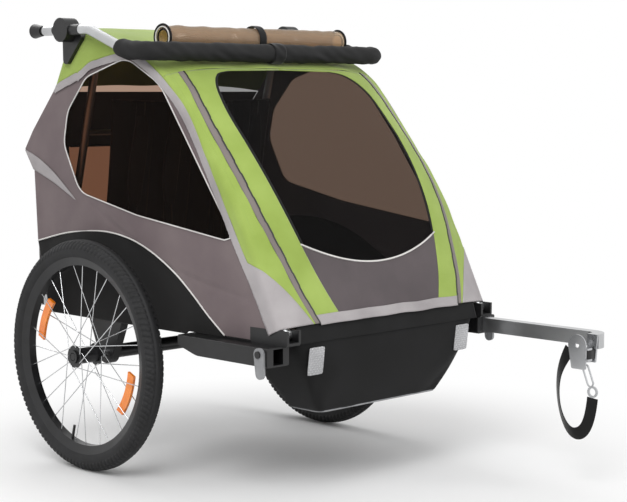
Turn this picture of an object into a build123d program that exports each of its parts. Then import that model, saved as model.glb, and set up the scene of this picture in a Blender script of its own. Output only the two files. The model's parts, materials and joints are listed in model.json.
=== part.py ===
"""Child bicycle trailer: a two-seat fabric cabin on a folding tube frame, with spoked wheels,
a swinging handlebar and a plug-in tow bar.

Millimetres, +Z up. The trailer faces -Y and its left side is +X. The origin is on the ground
at the middle of its length. Side outlines are (y, z) pairs with y counted from the wheel axle,
and front outlines are (x, z) pairs. `side` is +1 on the left and -1 on the right.
"""
import os
from math import cos, hypot, radians, sin

from build123d import *

os.makedirs("parts", exist_ok=True)

SIDES = (("left", 1), ("right", -1))

# Overall
front_reach = 879.0
rear_reach = 284.0
axle_y = (front_reach - rear_reach) / 2
running_gap = 0.05
swing_gap = 0.3

# Wheels
wheel_radius = 250.0
wheel_track = 720.0
tyre_radius = 23.5
tyre_wall = 3.5
rim_outer = 213.0
rim_inner = 195.0
rim_half_width = 17.0
rim_floor_half_width = 9.0
rim_wall = 3.0
spoke_count = 28
spoke_radius = 1.0
spoke_embed = 2.0
hub_body_radius = 17.0
flange_radius = 24.0
flange_offset = 28.0
flange_width = 3.0
hub_inner_end = 34.0
hub_outer_end = 34.0
hub_end_radius = 14.0
button_radius = 8.0
button_length = 6.0
button_travel = 3.0
button_recess_radius = 9.0
axle_radius = 6.0
reflector_ring = 160.0
reflector_length = 95.0
reflector_height = 20.0
reflector_thickness = 6.0
reflector_angle = 25.0
valve_radius = 3.0
valve_length = 30.0
valve_angle = 285.0

# Chassis tubes
rail_x = 293.0
rail_z = 345.0
rail_size = 25.0
tube_wall = 2.0
rail_rear = 226.5
rail_front = -498.0
rear_tube_y = rail_rear - rail_size / 2
front_tube_y = -515.0
front_tube_radius = 11.0
axle_tube_radius = 15.0
bracket_thickness = 20.0
bracket_top_length = 120.0
bracket_end_radius = 24.0

# Hoops, which fold about their front feet
hoop_points = ((-545.0, 345.0), (-424.0, 592.0), (-200.0, 855.0), (80.0, 938.0))
hoop_radii = (800.0, 250.0)
hoop_tube_radius = 12.5
hoop_pivot_radius = 4.0
top_tube_setback = 20.0
top_tube_radius = 11.0

# Front corner castings
casting_front = -575.0
casting_rear = -470.0
saddle_rear = -300.0
casting_floor = 7.7
casting_inner_x = 274.0
casting_outer_x = 310.8
casting_top = 356.0
pivot_head_radius = 11.0
pivot_head_length = 6.0

# Sockets for the tow bar and for a spare arm, and their levers
socket_x = 316.0
socket_width = 26.0
socket_height = 31.0
socket_depth = 225.0
receiver_width = 58.0
receiver_height = 38.0
receiver_front = -555.0
receiver_rear = -290.0
receiver_tail = 21.0
receiver_taper = 60.0
lever_pivot = (-536.0, 312.0)
lever_tip = (-539.0, 275.0)
lever_head_radius = 13.0
lever_tip_radius = 11.0
lever_thickness = 6.0
lever_pin_radius = 4.0
lever_pin_head = 7.0

# Floor and footwell
floor_thickness = 3.0
floor_rear = 158.0
floor_front = -375.0
tub_wall = 3.0
tub_top_z = 332.5
tub_bottom_z = 177.0
tub_top = (-566.0, -378.0, 272.0)
tub_bottom = (-533.0, -440.0, 179.0)
skid_thickness = 3.0

# Fabric skin, measured outward from the hoop's centreline
skin_inner = 13.0
skin_outer = 15.0
roof_half_width = 311.2
rear_flap = (172.0, 818.0)
roof_front_z = 850.0
side_panel_x = 309.0
side_panel_thickness = 2.0
window_thickness = 1.0
flange_inner_x = 311.5
flange_outer_x = 314.5
cover_bottom_z = 358.0
cover_gap = 0.5
cover_top_z = roof_front_z - cover_gap
mesh_thickness = 1.0
hem_points = ((182.0, 804.0), (71.0, 840.0), (20.0, 866.0), (-86.0, 883.0), (-127.0, 875.0),
              (-212.0, 822.0), (-294.0, 736.0), (-422.0, 522.0), (-479.0, 431.0), (-524.0, 350.0))
panel_rear_points = ((172.0, 814.0), (252.0, 727.0), (284.0, 684.0), (250.0, 668.0),
                     (239.0, 481.0), (200.0, 321.0), (-280.0, 321.0), (-280.0, 327.0),
                     (-530.0, 327.0))
window_points = ((-430.0, 517.0), (-120.0, 556.0), (78.0, 596.0), (134.0, 700.0),
                 (118.0, 772.0), (50.0, 846.0), (-90.0, 886.0), (-200.0, 830.0))
window_radii = (18.0, 300.0, 60.0, 50.0, 60.0, 60.0, 80.0, 120.0)
rear_outline = ((231.0, 333.0), (239.0, 481.0), (249.0, 672.0), (253.0, 722.0), (174.0, 814.0))
rear_panel_half_width = 307.5
rear_panel_thickness = 2.5
rear_window_half_width = 215.0
rear_window_low = 500.0
rear_window_high = 690.0
zip_points = ((209.0, 358.0), (230.0, 410.0), (247.0, 475.0), (266.0, 560.0), (274.0, 650.0),
              (274.0, 738.0), (270.0, 800.0), (264.0, 850.0))
opening_points = ((145.0, 358.0), (178.0, 430.0), (205.0, 520.0), (222.0, 605.0), (231.0, 690.0),
                  (231.0, 765.0), (219.0, 812.0), (190.0, 838.0), (150.0, 845.0))
piping_end = (202.0, 504.0)
piping_sag = 46.0

# Seat
seat_half_width = 244.0
seat_front = -170.0
seat_rear = 120.0
seat_height = 40.0
seat_bow = 10.0
back_foot = (112.0, 378.0)
back_head = (52.0, 800.0)
back_thickness = 22.0
harness_width = 38.0
harness_thickness = 2.5
harness_xs = (-175.0, -75.0, 75.0, 175.0)
harness_gap = 0.5
harness_ends = 42.0

# Rear bail, a pair of legs that hang from the hoops' cross tube and latch beside the rails
bail_aim = (214.0, 345.0)
bail_end_z = 480.0
bail_x = 265.0
bail_radius = 9.0
bail_sleeve_radius = 12.5
bail_sleeve_inner_x = 252.0
bail_sleeve_outer_x = 280.0
bail_rod_radius = 6.0
bail_rod_drop = 215.0
latch_plate_thickness = 5.5
latch_plate_radius = 16.0
latch_plate_z = 489.0
latch_plate_front = 162.0

# Handlebar
hub_centre = (89.0, 947.0)
hub_radius = 26.0
hub_inner_x = 324.3
hub_outer_x = 350.0
hub_plate_inner_x = 315.0
hub_plate_outer_x = 324.0
hub_shank_radius = 12.0
hub_shank_hole = 14.0
plate_tail = (104.0, 884.0)
plate_tail_radius = 10.0
arm_x = 336.0
bar_radius = 11.0
bar_wall = 2.0
bar_rear = 160.0
bar_bends = ((5.0, 947.0), (-120.0, 901.0), (-214.0, 897.0))
bar_bend_radii = (60.0, 60.0, 38.0)
foam_start = -100.0
foam_radius = 20.0
collar_radius = 15.0
collar_front = 32.0
plunger_stem = 38.0
plunger_travel = 8.0
plunger_head = 30.0
plunger_flare = 16.0
grip_strap_width = 32.0
grip_strap_tail = 26.0

# Rolled rain cover
roll_centre = (-150.0, 928.0)
roll_radius = 28.0
roll_half_length = 262.0
roll_binding = 8.0
roll_binding_radius = 29.0
roll_strap_width = 22.0

# Tow bar and hitch
tow_width = 25.0
tow_height = 30.0
tow_wall = 2.0
tow_rear = -335.0
tow_bend_radius = 30.0
tow_end_x = 280.0
hitch_pivot_back = 14.0
hitch_pivot = (hitch_pivot_back - front_reach, 281.0)
hitch_pivot_x = 263.0
hitch_block = 18.0
hitch_plate_x = 249.5
hitch_plate_thickness = 3.0
hitch_hole = (hitch_pivot[0] + 17.0, 299.0)
hitch_plate_round = 22.0
hitch_plate_foot = (-4.0, -41.0)
hitch_plate_foot_size = (36.0, 16.0, 4.0)
hitch_hole_radius = 5.2
hitch_pin_radius = 4.0
hitch_ear_thickness = 4.0
bracket_plate_thickness = 5.0
strap_route = tuple((hitch_pivot[0] + back, z) for back, z in (
    (40.0, 288.0), (62.0, 255.0), (71.0, 205.0), (62.0, 150.0),
    (36.0, 112.0), (5.0, 116.0), (-14.0, 154.0), (-18.0, 193.0)))
strap_x = 256.0
webbing_width = 25.0
webbing_thickness = 2.5
ring_centre = (hitch_pivot[0] - 18.0, 205.5)
ring_radius = 12.0
ring_wire = 2.0
hook_centre = (hitch_pivot[0] - 6.0, 238.0)
hook_length = 48.0
hook_width = 16.0
hook_lean = 68.0


def side_plane(x):
    """The plane at x seen from the left, with (y from the axle, z) as its coordinates."""
    return Plane(origin=(x, axle_y, 0), x_dir=(0, 1, 0), z_dir=(1, 0, 0))


def front_plane(y):
    """The plane at y from the axle seen from the front, with (x, z) as its coordinates."""
    return Plane(origin=(0, axle_y + y, 0), x_dir=(1, 0, 0), z_dir=(0, -1, 0))


def level_plane(z):
    """The level plane at z, with (x, y from the axle) as its coordinates."""
    return Plane(origin=(0, axle_y, z), x_dir=(1, 0, 0), z_dir=(0, 0, 1))


def write(piece, label):
    """Label a finished piece and write its STEP file."""
    piece.part.label = label
    export_step(piece.part, f"parts/{label}.step")


def grown(points, gap):
    """Move an open outline to its left by gap, corner by corner."""
    steps = [(b[0] - a[0], b[1] - a[1]) for a, b in zip(points, points[1:])]
    normals = [(-dz / hypot(dy, dz), dy / hypot(dy, dz)) for dy, dz in steps]
    moved = []
    for index, (y, z) in enumerate(points):
        before = normals[max(index - 1, 0)]
        after = normals[min(index, len(normals) - 1)]
        scale = gap / (1 + before[0] * after[0] + before[1] * after[1])
        moved.append((y + scale * (before[0] + after[0]), z + scale * (before[1] + after[1])))
    return moved


def grown_radii(gap):
    """The hoop's bend radii on a line that runs gap outside it."""
    return [radius + gap for radius in hoop_radii]


def skin_section(inner, outer, tail=None):
    """Section between two lines outside the hoop; a tail carries it down behind the roof."""
    with BuildSketch() as section:
        with BuildLine():
            top = FilletPolyline(*grown(hoop_points, outer), radius=grown_radii(outer))
            low = FilletPolyline(*grown(hoop_points, inner), radius=grown_radii(inner))
            Line(top @ 0, low @ 0)
            if tail:
                thickness = outer - inner
                Polyline(top @ 1, tail, (tail[0] - thickness, tail[1] - thickness / 2), low @ 1)
            else:
                Line(top @ 1, low @ 1)
        make_face()
    return section.sketch


def mirrored_outline(points, gap=0.0):
    """Face inside a smooth curve and its mirror image, joined by straight ends."""
    with BuildSketch() as outline:
        with BuildLine():
            right = Spline(*[(x + gap, z) for x, z in points])
            left = Spline(*[(-x - gap, z) for x, z in points])
            Line(right @ 0, left @ 0)
            Line(right @ 1, left @ 1)
        make_face()
    return outline.sketch


def top_tube_centre():
    """Side-view centre of the cross tube that joins the hoops' rear ends."""
    (y0, z0), (y1, z1) = hoop_points[-2:]
    length = hypot(y1 - y0, z1 - z0)
    share = 1 - top_tube_setback / length
    return (y0 + (y1 - y0) * share, z0 + (z1 - z0) * share)


def bail_direction():
    """Unit direction (y, z) in which the bail's legs hang from the cross tube."""
    top_y, top_z = top_tube_centre()
    run = (bail_aim[0] - top_y, bail_aim[1] - top_z)
    return (run[0] / hypot(*run), run[1] / hypot(*run))


def bail_place(drop):
    """Side-view place on a leg's line, drop below the centre of the cross tube."""
    top_y, top_z = top_tube_centre()
    dy, dz = bail_direction()
    return (top_y + dy * drop, top_z + dz * drop)


def bail_drop(z):
    """How far down a leg's line the height z lies."""
    return (z - top_tube_centre()[1]) / bail_direction()[1]


# ---------------------------------------------------------------- chassis
rail_top = rail_z + rail_size / 2
rail_bottom = rail_z - rail_size / 2
rail_inner_x = rail_x - rail_size / 2
rail_outer_x = rail_x + rail_size / 2

with BuildPart() as side_rails:
    with BuildSketch(front_plane(rail_rear)):
        with Locations((rail_x, rail_z), (-rail_x, rail_z)):
            Rectangle(rail_size, rail_size)
            Rectangle(rail_size - 2 * tube_wall, rail_size - 2 * tube_wall, mode=Mode.SUBTRACT)
    extrude(amount=rail_rear - rail_front)

with BuildPart() as cross_members:
    with BuildSketch(side_plane(0)):
        with Locations((rear_tube_y, rail_z)):
            Rectangle(rail_size, rail_size)
            Rectangle(rail_size - 2 * tube_wall, rail_size - 2 * tube_wall, mode=Mode.SUBTRACT)
    extrude(amount=rail_inner_x, both=True)
    with BuildSketch(side_plane(0)):
        with Locations((front_tube_y, rail_z)):
            Circle(front_tube_radius)
            Circle(front_tube_radius - tube_wall, mode=Mode.SUBTRACT)
    extrude(amount=casting_inner_x, both=True)
    plate_rear = rear_tube_y - rail_size / 2 - swing_gap
    for side in (1, -1):
        with BuildSketch(side_plane(side * rail_inner_x)):
            with Locations(bail_place(bail_drop(latch_plate_z))):
                Circle(latch_plate_radius)
            with Locations(((latch_plate_front + plate_rear) / 2, rail_z)):
                Rectangle(plate_rear - latch_plate_front, rail_size)
            make_hull()
        extrude(amount=-side * latch_plate_thickness)

bracket_inner_x = rail_outer_x - bracket_thickness

with BuildPart() as axle_tube:
    with BuildSketch(side_plane(0)):
        with Locations((0, wheel_radius)):
            Circle(axle_tube_radius)
            Circle(axle_tube_radius - tube_wall, mode=Mode.SUBTRACT)
    extrude(amount=bracket_inner_x, both=True)

with BuildPart() as axle_brackets:
    with BuildSketch(side_plane(bracket_inner_x)):
        with Locations((0, wheel_radius)):
            Circle(bracket_end_radius)
        with Locations((0, rail_bottom - tube_wall)):
            Rectangle(bracket_top_length, 2 * tube_wall)
        make_hull()
        with Locations((0, wheel_radius)):
            Circle(axle_radius, mode=Mode.SUBTRACT)
    extrude(amount=bracket_thickness)
    mirror(about=Plane.YZ)

with BuildPart() as corner_castings:
    with BuildSketch(side_plane(casting_inner_x)):
        with Locations(((casting_front + casting_rear) / 2, (casting_top + rail_bottom
                        - casting_floor) / 2)):
            Rectangle(casting_rear - casting_front, casting_top - rail_bottom + casting_floor)
        fillet(vertices().group_by(Axis.Y)[0], radius=8)
    extrude(amount=casting_outer_x - casting_inner_x)
    with BuildSketch(front_plane(casting_rear)):
        with Locations((rail_x, (casting_top + rail_bottom) / 2 + swing_gap)):
            Rectangle(rail_size + 2 * swing_gap, casting_top - rail_bottom + 2 * swing_gap)
    extrude(amount=casting_rear - casting_front, mode=Mode.SUBTRACT)
    with BuildSketch(front_plane(saddle_rear)):
        with Locations((rail_x, rail_bottom - casting_floor / 2)):
            Rectangle(rail_size, casting_floor)
    extrude(amount=saddle_rear - casting_rear)
    with BuildSketch(side_plane(casting_inner_x)):
        with Locations(hoop_points[0]):
            Circle(hoop_pivot_radius)
    extrude(amount=casting_outer_x - casting_inner_x, mode=Mode.SUBTRACT)
    mirror(about=Plane.YZ)

with BuildPart() as hoop_pivots:
    with BuildSketch(side_plane(casting_inner_x)):
        with Locations(hoop_points[0]):
            Circle(hoop_pivot_radius)
    extrude(amount=casting_outer_x - casting_inner_x)
    with BuildSketch(side_plane(casting_inner_x - pivot_head_length)):
        with Locations(hoop_points[0]):
            Circle(pivot_head_radius)
    extrude(amount=pivot_head_length)
    mirror(about=Plane.YZ)

receiver_top = rail_bottom - casting_floor
receiver_bottom = receiver_top - receiver_height
socket_z = receiver_bottom + receiver_height / 2
receiver_outer_x = socket_x + receiver_width / 2


def receiver(side):
    """Socket block under the rail, with its tapered tail and the pin that its lever turns on."""
    with BuildPart() as block:
        with BuildSketch(side_plane(side * socket_x)):
            with BuildLine():
                Polyline((receiver_front, receiver_bottom), (receiver_front, receiver_top),
                         (receiver_rear, receiver_top),
                         (receiver_rear, receiver_top - receiver_tail),
                         (receiver_rear - receiver_taper, receiver_bottom),
                         (receiver_front, receiver_bottom))
            make_face()
        extrude(amount=receiver_width / 2, both=True)
        fillet(block.edges().filter_by(Axis.Y), radius=4)
        with BuildSketch(front_plane(receiver_front + socket_depth)):
            with Locations((side * socket_x, socket_z)):
                Rectangle(socket_width, socket_height)
        extrude(amount=socket_depth, mode=Mode.SUBTRACT)
        pin_length = lever_thickness + 2 * swing_gap
        with BuildSketch(side_plane(side * (receiver_outer_x - 2))):
            with Locations(lever_pivot):
                Circle(lever_pin_radius)
        extrude(amount=side * (pin_length + 2))
        with BuildSketch(side_plane(side * (receiver_outer_x + pin_length))):
            with Locations(lever_pivot):
                Circle(lever_pin_head)
        extrude(amount=side * 3)
    return block


def lever(side):
    """Drop-shaped lever that hangs outside its socket block."""
    with BuildPart() as drop:
        with BuildSketch(side_plane(side * (receiver_outer_x + swing_gap))):
            with Locations(lever_pivot):
                Circle(lever_head_radius)
            with Locations(lever_tip):
                Circle(lever_tip_radius)
            make_hull()
            with Locations(lever_pivot):
                Circle(lever_pin_radius + running_gap, mode=Mode.SUBTRACT)
        extrude(amount=side * lever_thickness)
    return drop


with BuildPart() as floor_panel:
    with BuildSketch(level_plane(rail_bottom)):
        with Locations((0, (floor_rear + floor_front) / 2)):
            Rectangle(2 * rail_inner_x, floor_rear - floor_front)
    extrude(amount=floor_thickness)

with BuildPart() as nose_tub:
    for level, (front, rear, half_width) in ((tub_bottom_z, tub_bottom), (tub_top_z, tub_top)):
        with BuildSketch(level_plane(level)):
            with Locations((0, (front + rear) / 2)):
                RectangleRounded(2 * half_width, rear - front, 20)
    loft()
    offset(amount=-tub_wall, openings=nose_tub.faces().sort_by(Axis.Z)[-1])

with BuildPart() as skid_strip:
    with BuildSketch(level_plane(tub_bottom_z - skid_thickness)):
        with Locations((0, (tub_bottom[0] + tub_bottom[1]) / 2)):
            RectangleRounded(2 * tub_bottom[2], tub_bottom[1] - tub_bottom[0], 20)
    extrude(amount=skid_thickness)

# ---------------------------------------------------------------- cabin fabric


def window_outline():
    """Face of the side window."""
    with BuildSketch() as outline:
        with BuildLine():
            FilletPolyline(*window_points, radius=window_radii, close=True)
        make_face()
    return outline.sketch


def side_panel(side):
    """One side wall with its window opening, cut back around the hub and the front corner."""
    with BuildPart() as wall:
        with BuildSketch(side_plane(side * side_panel_x)):
            with BuildLine():
                edge = skin_inner - swing_gap
                top = FilletPolyline(*grown(hoop_points, edge), radius=grown_radii(edge))
                Polyline(top @ 1, *panel_rear_points, top @ 0)
            make_face()
            with Locations(((casting_front + casting_rear) / 2, (casting_top + tub_top_z) / 2)):
                Rectangle(casting_rear - casting_front + 10, casting_top - tub_top_z + 30,
                          mode=Mode.SUBTRACT)
            with Locations(top_tube_centre()):
                Circle(hub_shank_hole, mode=Mode.SUBTRACT)
        extrude(amount=side_panel_thickness / 2, both=True)
        with BuildSketch(side_plane(side * side_panel_x)):
            add(window_outline())
        extrude(amount=side_panel_thickness, both=True, mode=Mode.SUBTRACT)
    return wall


with BuildPart() as side_windows:
    with BuildSketch(side_plane(side_panel_x)):
        add(window_outline())
    extrude(amount=window_thickness / 2, both=True)
    mirror(about=Plane.YZ)


def rear_section():
    """Side section of the rear wall."""
    with BuildSketch() as section:
        with BuildLine():
            outer = Polyline(*rear_outline)
            inner = Polyline(*grown(rear_outline, rear_panel_thickness))
            Line(outer @ 0, inner @ 0)
            Line(outer @ 1, inner @ 1)
        make_face()
    return section.sketch


with BuildPart() as rear_panel:
    with BuildSketch(side_plane(0)):
        add(rear_section())
    extrude(amount=rear_panel_half_width, both=True)
    with BuildSketch(front_plane(rear_reach)):
        with Locations((0, (rear_window_low + rear_window_high) / 2)):
            RectangleRounded(2 * rear_window_half_width, rear_window_high - rear_window_low, 30)
    extrude(amount=rear_reach, mode=Mode.SUBTRACT)

with BuildPart() as rear_window:
    with BuildSketch(side_plane(0)):
        add(rear_section())
    extrude(amount=rear_panel_half_width, both=True)
    with BuildSketch(front_plane(rear_reach)):
        with Locations((0, (rear_window_low + rear_window_high) / 2)):
            RectangleRounded(2 * rear_window_half_width, rear_window_high - rear_window_low, 30)
    extrude(amount=rear_reach, mode=Mode.INTERSECT)

# ---------------------------------------------------------------- seat
seat_floor = rail_bottom + floor_thickness

with BuildPart() as seat_base:
    with BuildSketch(side_plane(0)):
        with BuildLine():
            Polyline((seat_front, seat_floor + seat_height), (seat_front, seat_floor),
                     (seat_rear, seat_floor), (seat_rear, seat_floor + seat_height))
            ThreePointArc((seat_rear, seat_floor + seat_height),
                          ((seat_front + seat_rear) / 2, seat_floor + seat_height + seat_bow),
                          (seat_front, seat_floor + seat_height))
        make_face()
    extrude(amount=seat_half_width, both=True)

with BuildPart() as seat_back:
    with BuildSketch(side_plane(0)):
        with BuildLine():
            front_line = Line(back_foot, back_head)
            rear_line = Polyline(*grown((back_foot, back_head), -back_thickness))
            Line(front_line @ 0, rear_line @ 0)
            Line(front_line @ 1, rear_line @ 1)
        make_face()
    extrude(amount=seat_half_width, both=True)
    fillet(seat_back.edges().filter_by(Axis.X), radius=8)

back_lean = (back_head[0] - back_foot[0]) / (back_head[1] - back_foot[1])
harness_low = back_foot[1] + harness_ends
harness_high = back_head[1] - harness_ends
harness_line = ((back_foot[0] + back_lean * harness_ends, harness_low),
                (back_head[0] - back_lean * harness_ends, harness_high))

with BuildPart() as harness:
    with BuildSketch(side_plane(0)):
        with BuildLine():
            near = Polyline(*grown(harness_line, harness_gap))
            far = Polyline(*grown(harness_line, harness_gap + harness_thickness))
            Line(near @ 0, far @ 0)
            Line(near @ 1, far @ 1)
        make_face()
    extrude(amount=seat_half_width, both=True)
    with BuildSketch(front_plane(rear_reach)):
        with Locations(*[(x, (harness_low + harness_high) / 2) for x in harness_xs]):
            Rectangle(harness_width, harness_high - harness_low + harness_width)
    extrude(amount=rear_reach + front_reach, mode=Mode.INTERSECT)

# ---------------------------------------------------------------- folding upper frame


def hoop(side):
    """One bent roof hoop, with the eye at its front foot that it folds about."""
    with BuildPart() as tube:
        with BuildLine(side_plane(side * rail_x)) as route:
            FilletPolyline(*hoop_points, radius=hoop_radii)
        with BuildSketch(Plane(origin=route.line @ 0, z_dir=route.line % 0)):
            Circle(hoop_tube_radius)
            Circle(hoop_tube_radius - tube_wall, mode=Mode.SUBTRACT)
        sweep()
        with BuildSketch(side_plane(side * rail_x)):
            with Locations(hoop_points[0]):
                Circle(hoop_tube_radius)
        extrude(amount=hoop_tube_radius, both=True)
        with BuildSketch(side_plane(side * rail_x)):
            with Locations(hoop_points[0]):
                Circle(hoop_pivot_radius + running_gap)
        extrude(amount=2 * hoop_tube_radius, both=True, mode=Mode.SUBTRACT)
    return tube


with BuildPart() as top_cross_tube:
    with BuildSketch(side_plane(0)):
        with Locations(top_tube_centre()):
            Circle(top_tube_radius)
            Circle(top_tube_radius - tube_wall, mode=Mode.SUBTRACT)
    extrude(amount=rail_x - hoop_tube_radius, both=True)

with BuildPart() as hub_plates:
    with BuildSketch(side_plane(hub_plate_inner_x)):
        with Locations(hub_centre):
            Circle(hub_radius)
        with Locations(plate_tail):
            Circle(plate_tail_radius)
        with Locations(top_tube_centre()):
            Circle(hub_shank_radius)
        make_hull()
    extrude(amount=hub_plate_outer_x - hub_plate_inner_x)
    with BuildSketch(side_plane(rail_outer_x)):
        with Locations(top_tube_centre()):
            Circle(hub_shank_radius)
    extrude(amount=hub_plate_inner_x - rail_outer_x)
    mirror(about=Plane.YZ)

with BuildPart() as roof_panel:
    with BuildSketch(side_plane(0)):
        add(skin_section(skin_inner, skin_outer, tail=rear_flap))
    extrude(amount=roof_half_width, both=True)
    with BuildSketch(level_plane(roof_front_z)):
        with Locations((0, -front_reach)):
            Rectangle(2 * wheel_track, 2 * front_reach)
    extrude(amount=-roof_front_z, mode=Mode.SUBTRACT)


def band_edge():
    """Flat side edge of the green skin, from the front foot over the roof to the rear flap."""
    with BuildSketch() as edge:
        with BuildLine():
            top = FilletPolyline(*grown(hoop_points, skin_outer), radius=grown_radii(skin_outer))
            Polyline(top @ 1, rear_flap, *hem_points, top @ 0)
        make_face()
        with Locations(top_tube_centre()):
            Circle(hub_shank_hole, mode=Mode.SUBTRACT)
    return edge.sketch


def front_band(side):
    """Green skin over one hoop: the strip outside the zip and the edge that wraps the side."""
    with BuildPart() as band:
        with BuildSketch(side_plane(0)):
            add(skin_section(skin_inner, skin_outer))
        extrude(amount=side * flange_inner_x)
        with BuildSketch(front_plane(0)):
            with Locations((side * flange_outer_x / 2, (cover_bottom_z + roof_front_z) / 2)):
                Rectangle(flange_outer_x, roof_front_z - cover_bottom_z)
            add(mirrored_outline(zip_points, cover_gap), mode=Mode.SUBTRACT)
        extrude(amount=front_reach, mode=Mode.INTERSECT)
        with BuildSketch(side_plane(side * flange_inner_x)):
            add(band_edge())
        extrude(amount=side * (flange_outer_x - flange_inner_x))
    return band


# ---------------------------------------------------------------- front cover


def front_sheet(inner, outer, outline):
    """Part of the front skin: the sheet between two offsets, kept inside a front outline."""
    with BuildPart() as sheet:
        with BuildSketch(side_plane(0)):
            add(skin_section(inner, outer))
        extrude(amount=roof_half_width, both=True)
        with BuildSketch(front_plane(0)):
            add(outline)
        extrude(amount=front_reach, mode=Mode.INTERSECT)
    return sheet


def border_outline():
    """The cover's outline without its opening."""
    with BuildSketch() as border:
        add(mirrored_outline(zip_points))
        add(mirrored_outline(opening_points), mode=Mode.SUBTRACT)
        with Locations((0, cover_top_z + wheel_track / 2)):
            Rectangle(2 * wheel_track, wheel_track, mode=Mode.SUBTRACT)
    return border.sketch


def opening_part(level):
    """The part of the cover's opening between the sagging seam and a level."""
    x, z = piping_end
    wide = roof_half_width
    with BuildSketch() as region:
        with BuildLine():
            ThreePointArc((-x, z), (0, z - piping_sag), (x, z))
            Polyline((x, z), (wide, z), (wide, level), (-wide, level), (-wide, z), (-x, z))
        make_face()
        add(mirrored_outline(opening_points), mode=Mode.INTERSECT)
    return region.sketch


cover_border = front_sheet(skin_inner, skin_outer, border_outline())
mesh_middle = (skin_inner + skin_outer) / 2
mesh_screen = front_sheet(mesh_middle - mesh_thickness / 2, mesh_middle + mesh_thickness / 2,
                          opening_part(cover_top_z))
lower_cover = front_sheet(skin_inner, skin_outer, opening_part(cover_bottom_z - piping_sag))

# ---------------------------------------------------------------- rear bail
with BuildPart() as rear_bail:
    top_y, top_z = top_tube_centre()
    with BuildSketch(side_plane(bail_sleeve_inner_x)):
        with Locations((top_y, top_z)):
            Circle(bail_sleeve_radius)
    extrude(amount=bail_sleeve_outer_x - bail_sleeve_inner_x)
    with BuildSketch(Plane(origin=(bail_x, axle_y + top_y, top_z), z_dir=(0, *bail_direction()))):
        Circle(bail_radius)
    extrude(amount=bail_drop(bail_end_z))
    mirror(about=Plane.YZ)
    with BuildSketch(side_plane(0)):
        with Locations(bail_place(bail_rod_drop)):
            Circle(bail_rod_radius)
    extrude(amount=bail_x, both=True)
    with BuildSketch(side_plane(0)):
        with Locations((top_y, top_z)):
            Circle(top_tube_radius + running_gap)
    extrude(amount=rail_x, both=True, mode=Mode.SUBTRACT)

# ---------------------------------------------------------------- handlebar


def bar_points(start):
    """Corners of the handlebar's route from one arm's start, across and back."""
    left = [start] + list(bar_bends)
    points = [(arm_x, axle_y + y, z) for y, z in left]
    return points + [(-x, y, z) for x, y, z in reversed(points)]


def bar_sweep(start, outer, inner):
    """Tube along the handlebar's route, from the place start on one arm to the other."""
    with BuildPart() as tube:
        with BuildLine() as route:
            radii = list(bar_bend_radii) if start[1] >= bar_bends[0][1] else bar_bend_radii[1:]
            corners = bar_points(start)
            if len(radii) < len(bar_bends):
                corners = [corner for index, corner in enumerate(corners)
                           if index not in (1, len(corners) - 2)]
            FilletPolyline(*corners, radius=list(radii) + list(reversed(radii)))
        with BuildSketch(Plane(origin=route.line @ 0, z_dir=route.line % 0)):
            Circle(outer)
            Circle(inner, mode=Mode.SUBTRACT)
        sweep()
    return tube


bend_run = (bar_bends[0][0] - bar_bends[1][0], bar_bends[0][1] - bar_bends[1][1])
foam_share = (foam_start - bar_bends[1][0]) / bend_run[0]
foam_place = (foam_start, bar_bends[1][1] + foam_share * bend_run[1])

handlebar_tube = bar_sweep((bar_rear, bar_bends[0][1]), bar_radius, bar_radius - bar_wall)
foam_grip = bar_sweep(foam_place, foam_radius, bar_radius)

with BuildPart() as handlebar_hubs:
    with BuildSketch(side_plane(hub_inner_x)):
        with Locations(hub_centre):
            Circle(hub_radius)
    extrude(amount=hub_outer_x - hub_inner_x)
    with BuildSketch(front_plane(hub_centre[0] + hub_radius + 8)):
        with Locations((arm_x, hub_centre[1])):
            Circle(min(collar_radius, arm_x - hub_inner_x))
    extrude(amount=hub_centre[0] + hub_radius + 8 - collar_front)
    with BuildSketch(front_plane(bar_rear)):
        with Locations((arm_x, hub_centre[1])):
            Circle(bar_radius)
    extrude(amount=bar_rear, mode=Mode.SUBTRACT)
    mirror(about=Plane.YZ)


def plunger(side):
    """Flared release plunger in the open rear end of a handlebar arm."""
    with BuildPart() as button:
        head_start = bar_rear + plunger_travel + 1
        with BuildSketch(front_plane(head_start)):
            with Locations((side * arm_x, hub_centre[1])):
                Circle(bar_radius - bar_wall - running_gap)
        extrude(amount=plunger_stem)
        with BuildSketch(front_plane(head_start)):
            with Locations((side * arm_x, hub_centre[1])):
                Circle(bar_radius)
        with BuildSketch(front_plane(head_start + plunger_head)):
            with Locations((side * arm_x, hub_centre[1])):
                Circle(plunger_flare)
        loft()
    return button


bar_front, bar_height = bar_bends[-1]

with BuildPart() as grip_strap:
    with BuildSketch(side_plane(0)):
        with Locations((bar_front, bar_height)):
            Circle(foam_radius + webbing_thickness)
        with Locations((bar_front + foam_radius + webbing_thickness / 2,
                        bar_height - grip_strap_tail / 2)):
            Rectangle(webbing_thickness, grip_strap_tail)
        with Locations((bar_front, bar_height)):
            Circle(foam_radius, mode=Mode.SUBTRACT)
    extrude(amount=grip_strap_width / 2, both=True)

# ---------------------------------------------------------------- rolled rain cover
with BuildPart() as rain_cover_roll:
    with BuildSketch(side_plane(0)):
        with Locations(roll_centre):
            Circle(roll_radius)
    extrude(amount=roll_half_length - roll_binding, both=True)
    with BuildSketch(side_plane(roll_half_length - roll_binding)):
        with Locations(roll_centre):
            Circle(roll_binding_radius)
    extrude(amount=roll_binding)
    with BuildSketch(side_plane(-roll_half_length)):
        with Locations(roll_centre):
            Circle(roll_binding_radius)
    extrude(amount=roll_binding)

with BuildPart() as roll_strap:
    with BuildSketch(side_plane(0)):
        with Locations(roll_centre):
            Circle(roll_radius + webbing_thickness)
            Circle(roll_radius, mode=Mode.SUBTRACT)
    extrude(amount=roll_strap_width / 2, both=True)

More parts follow.
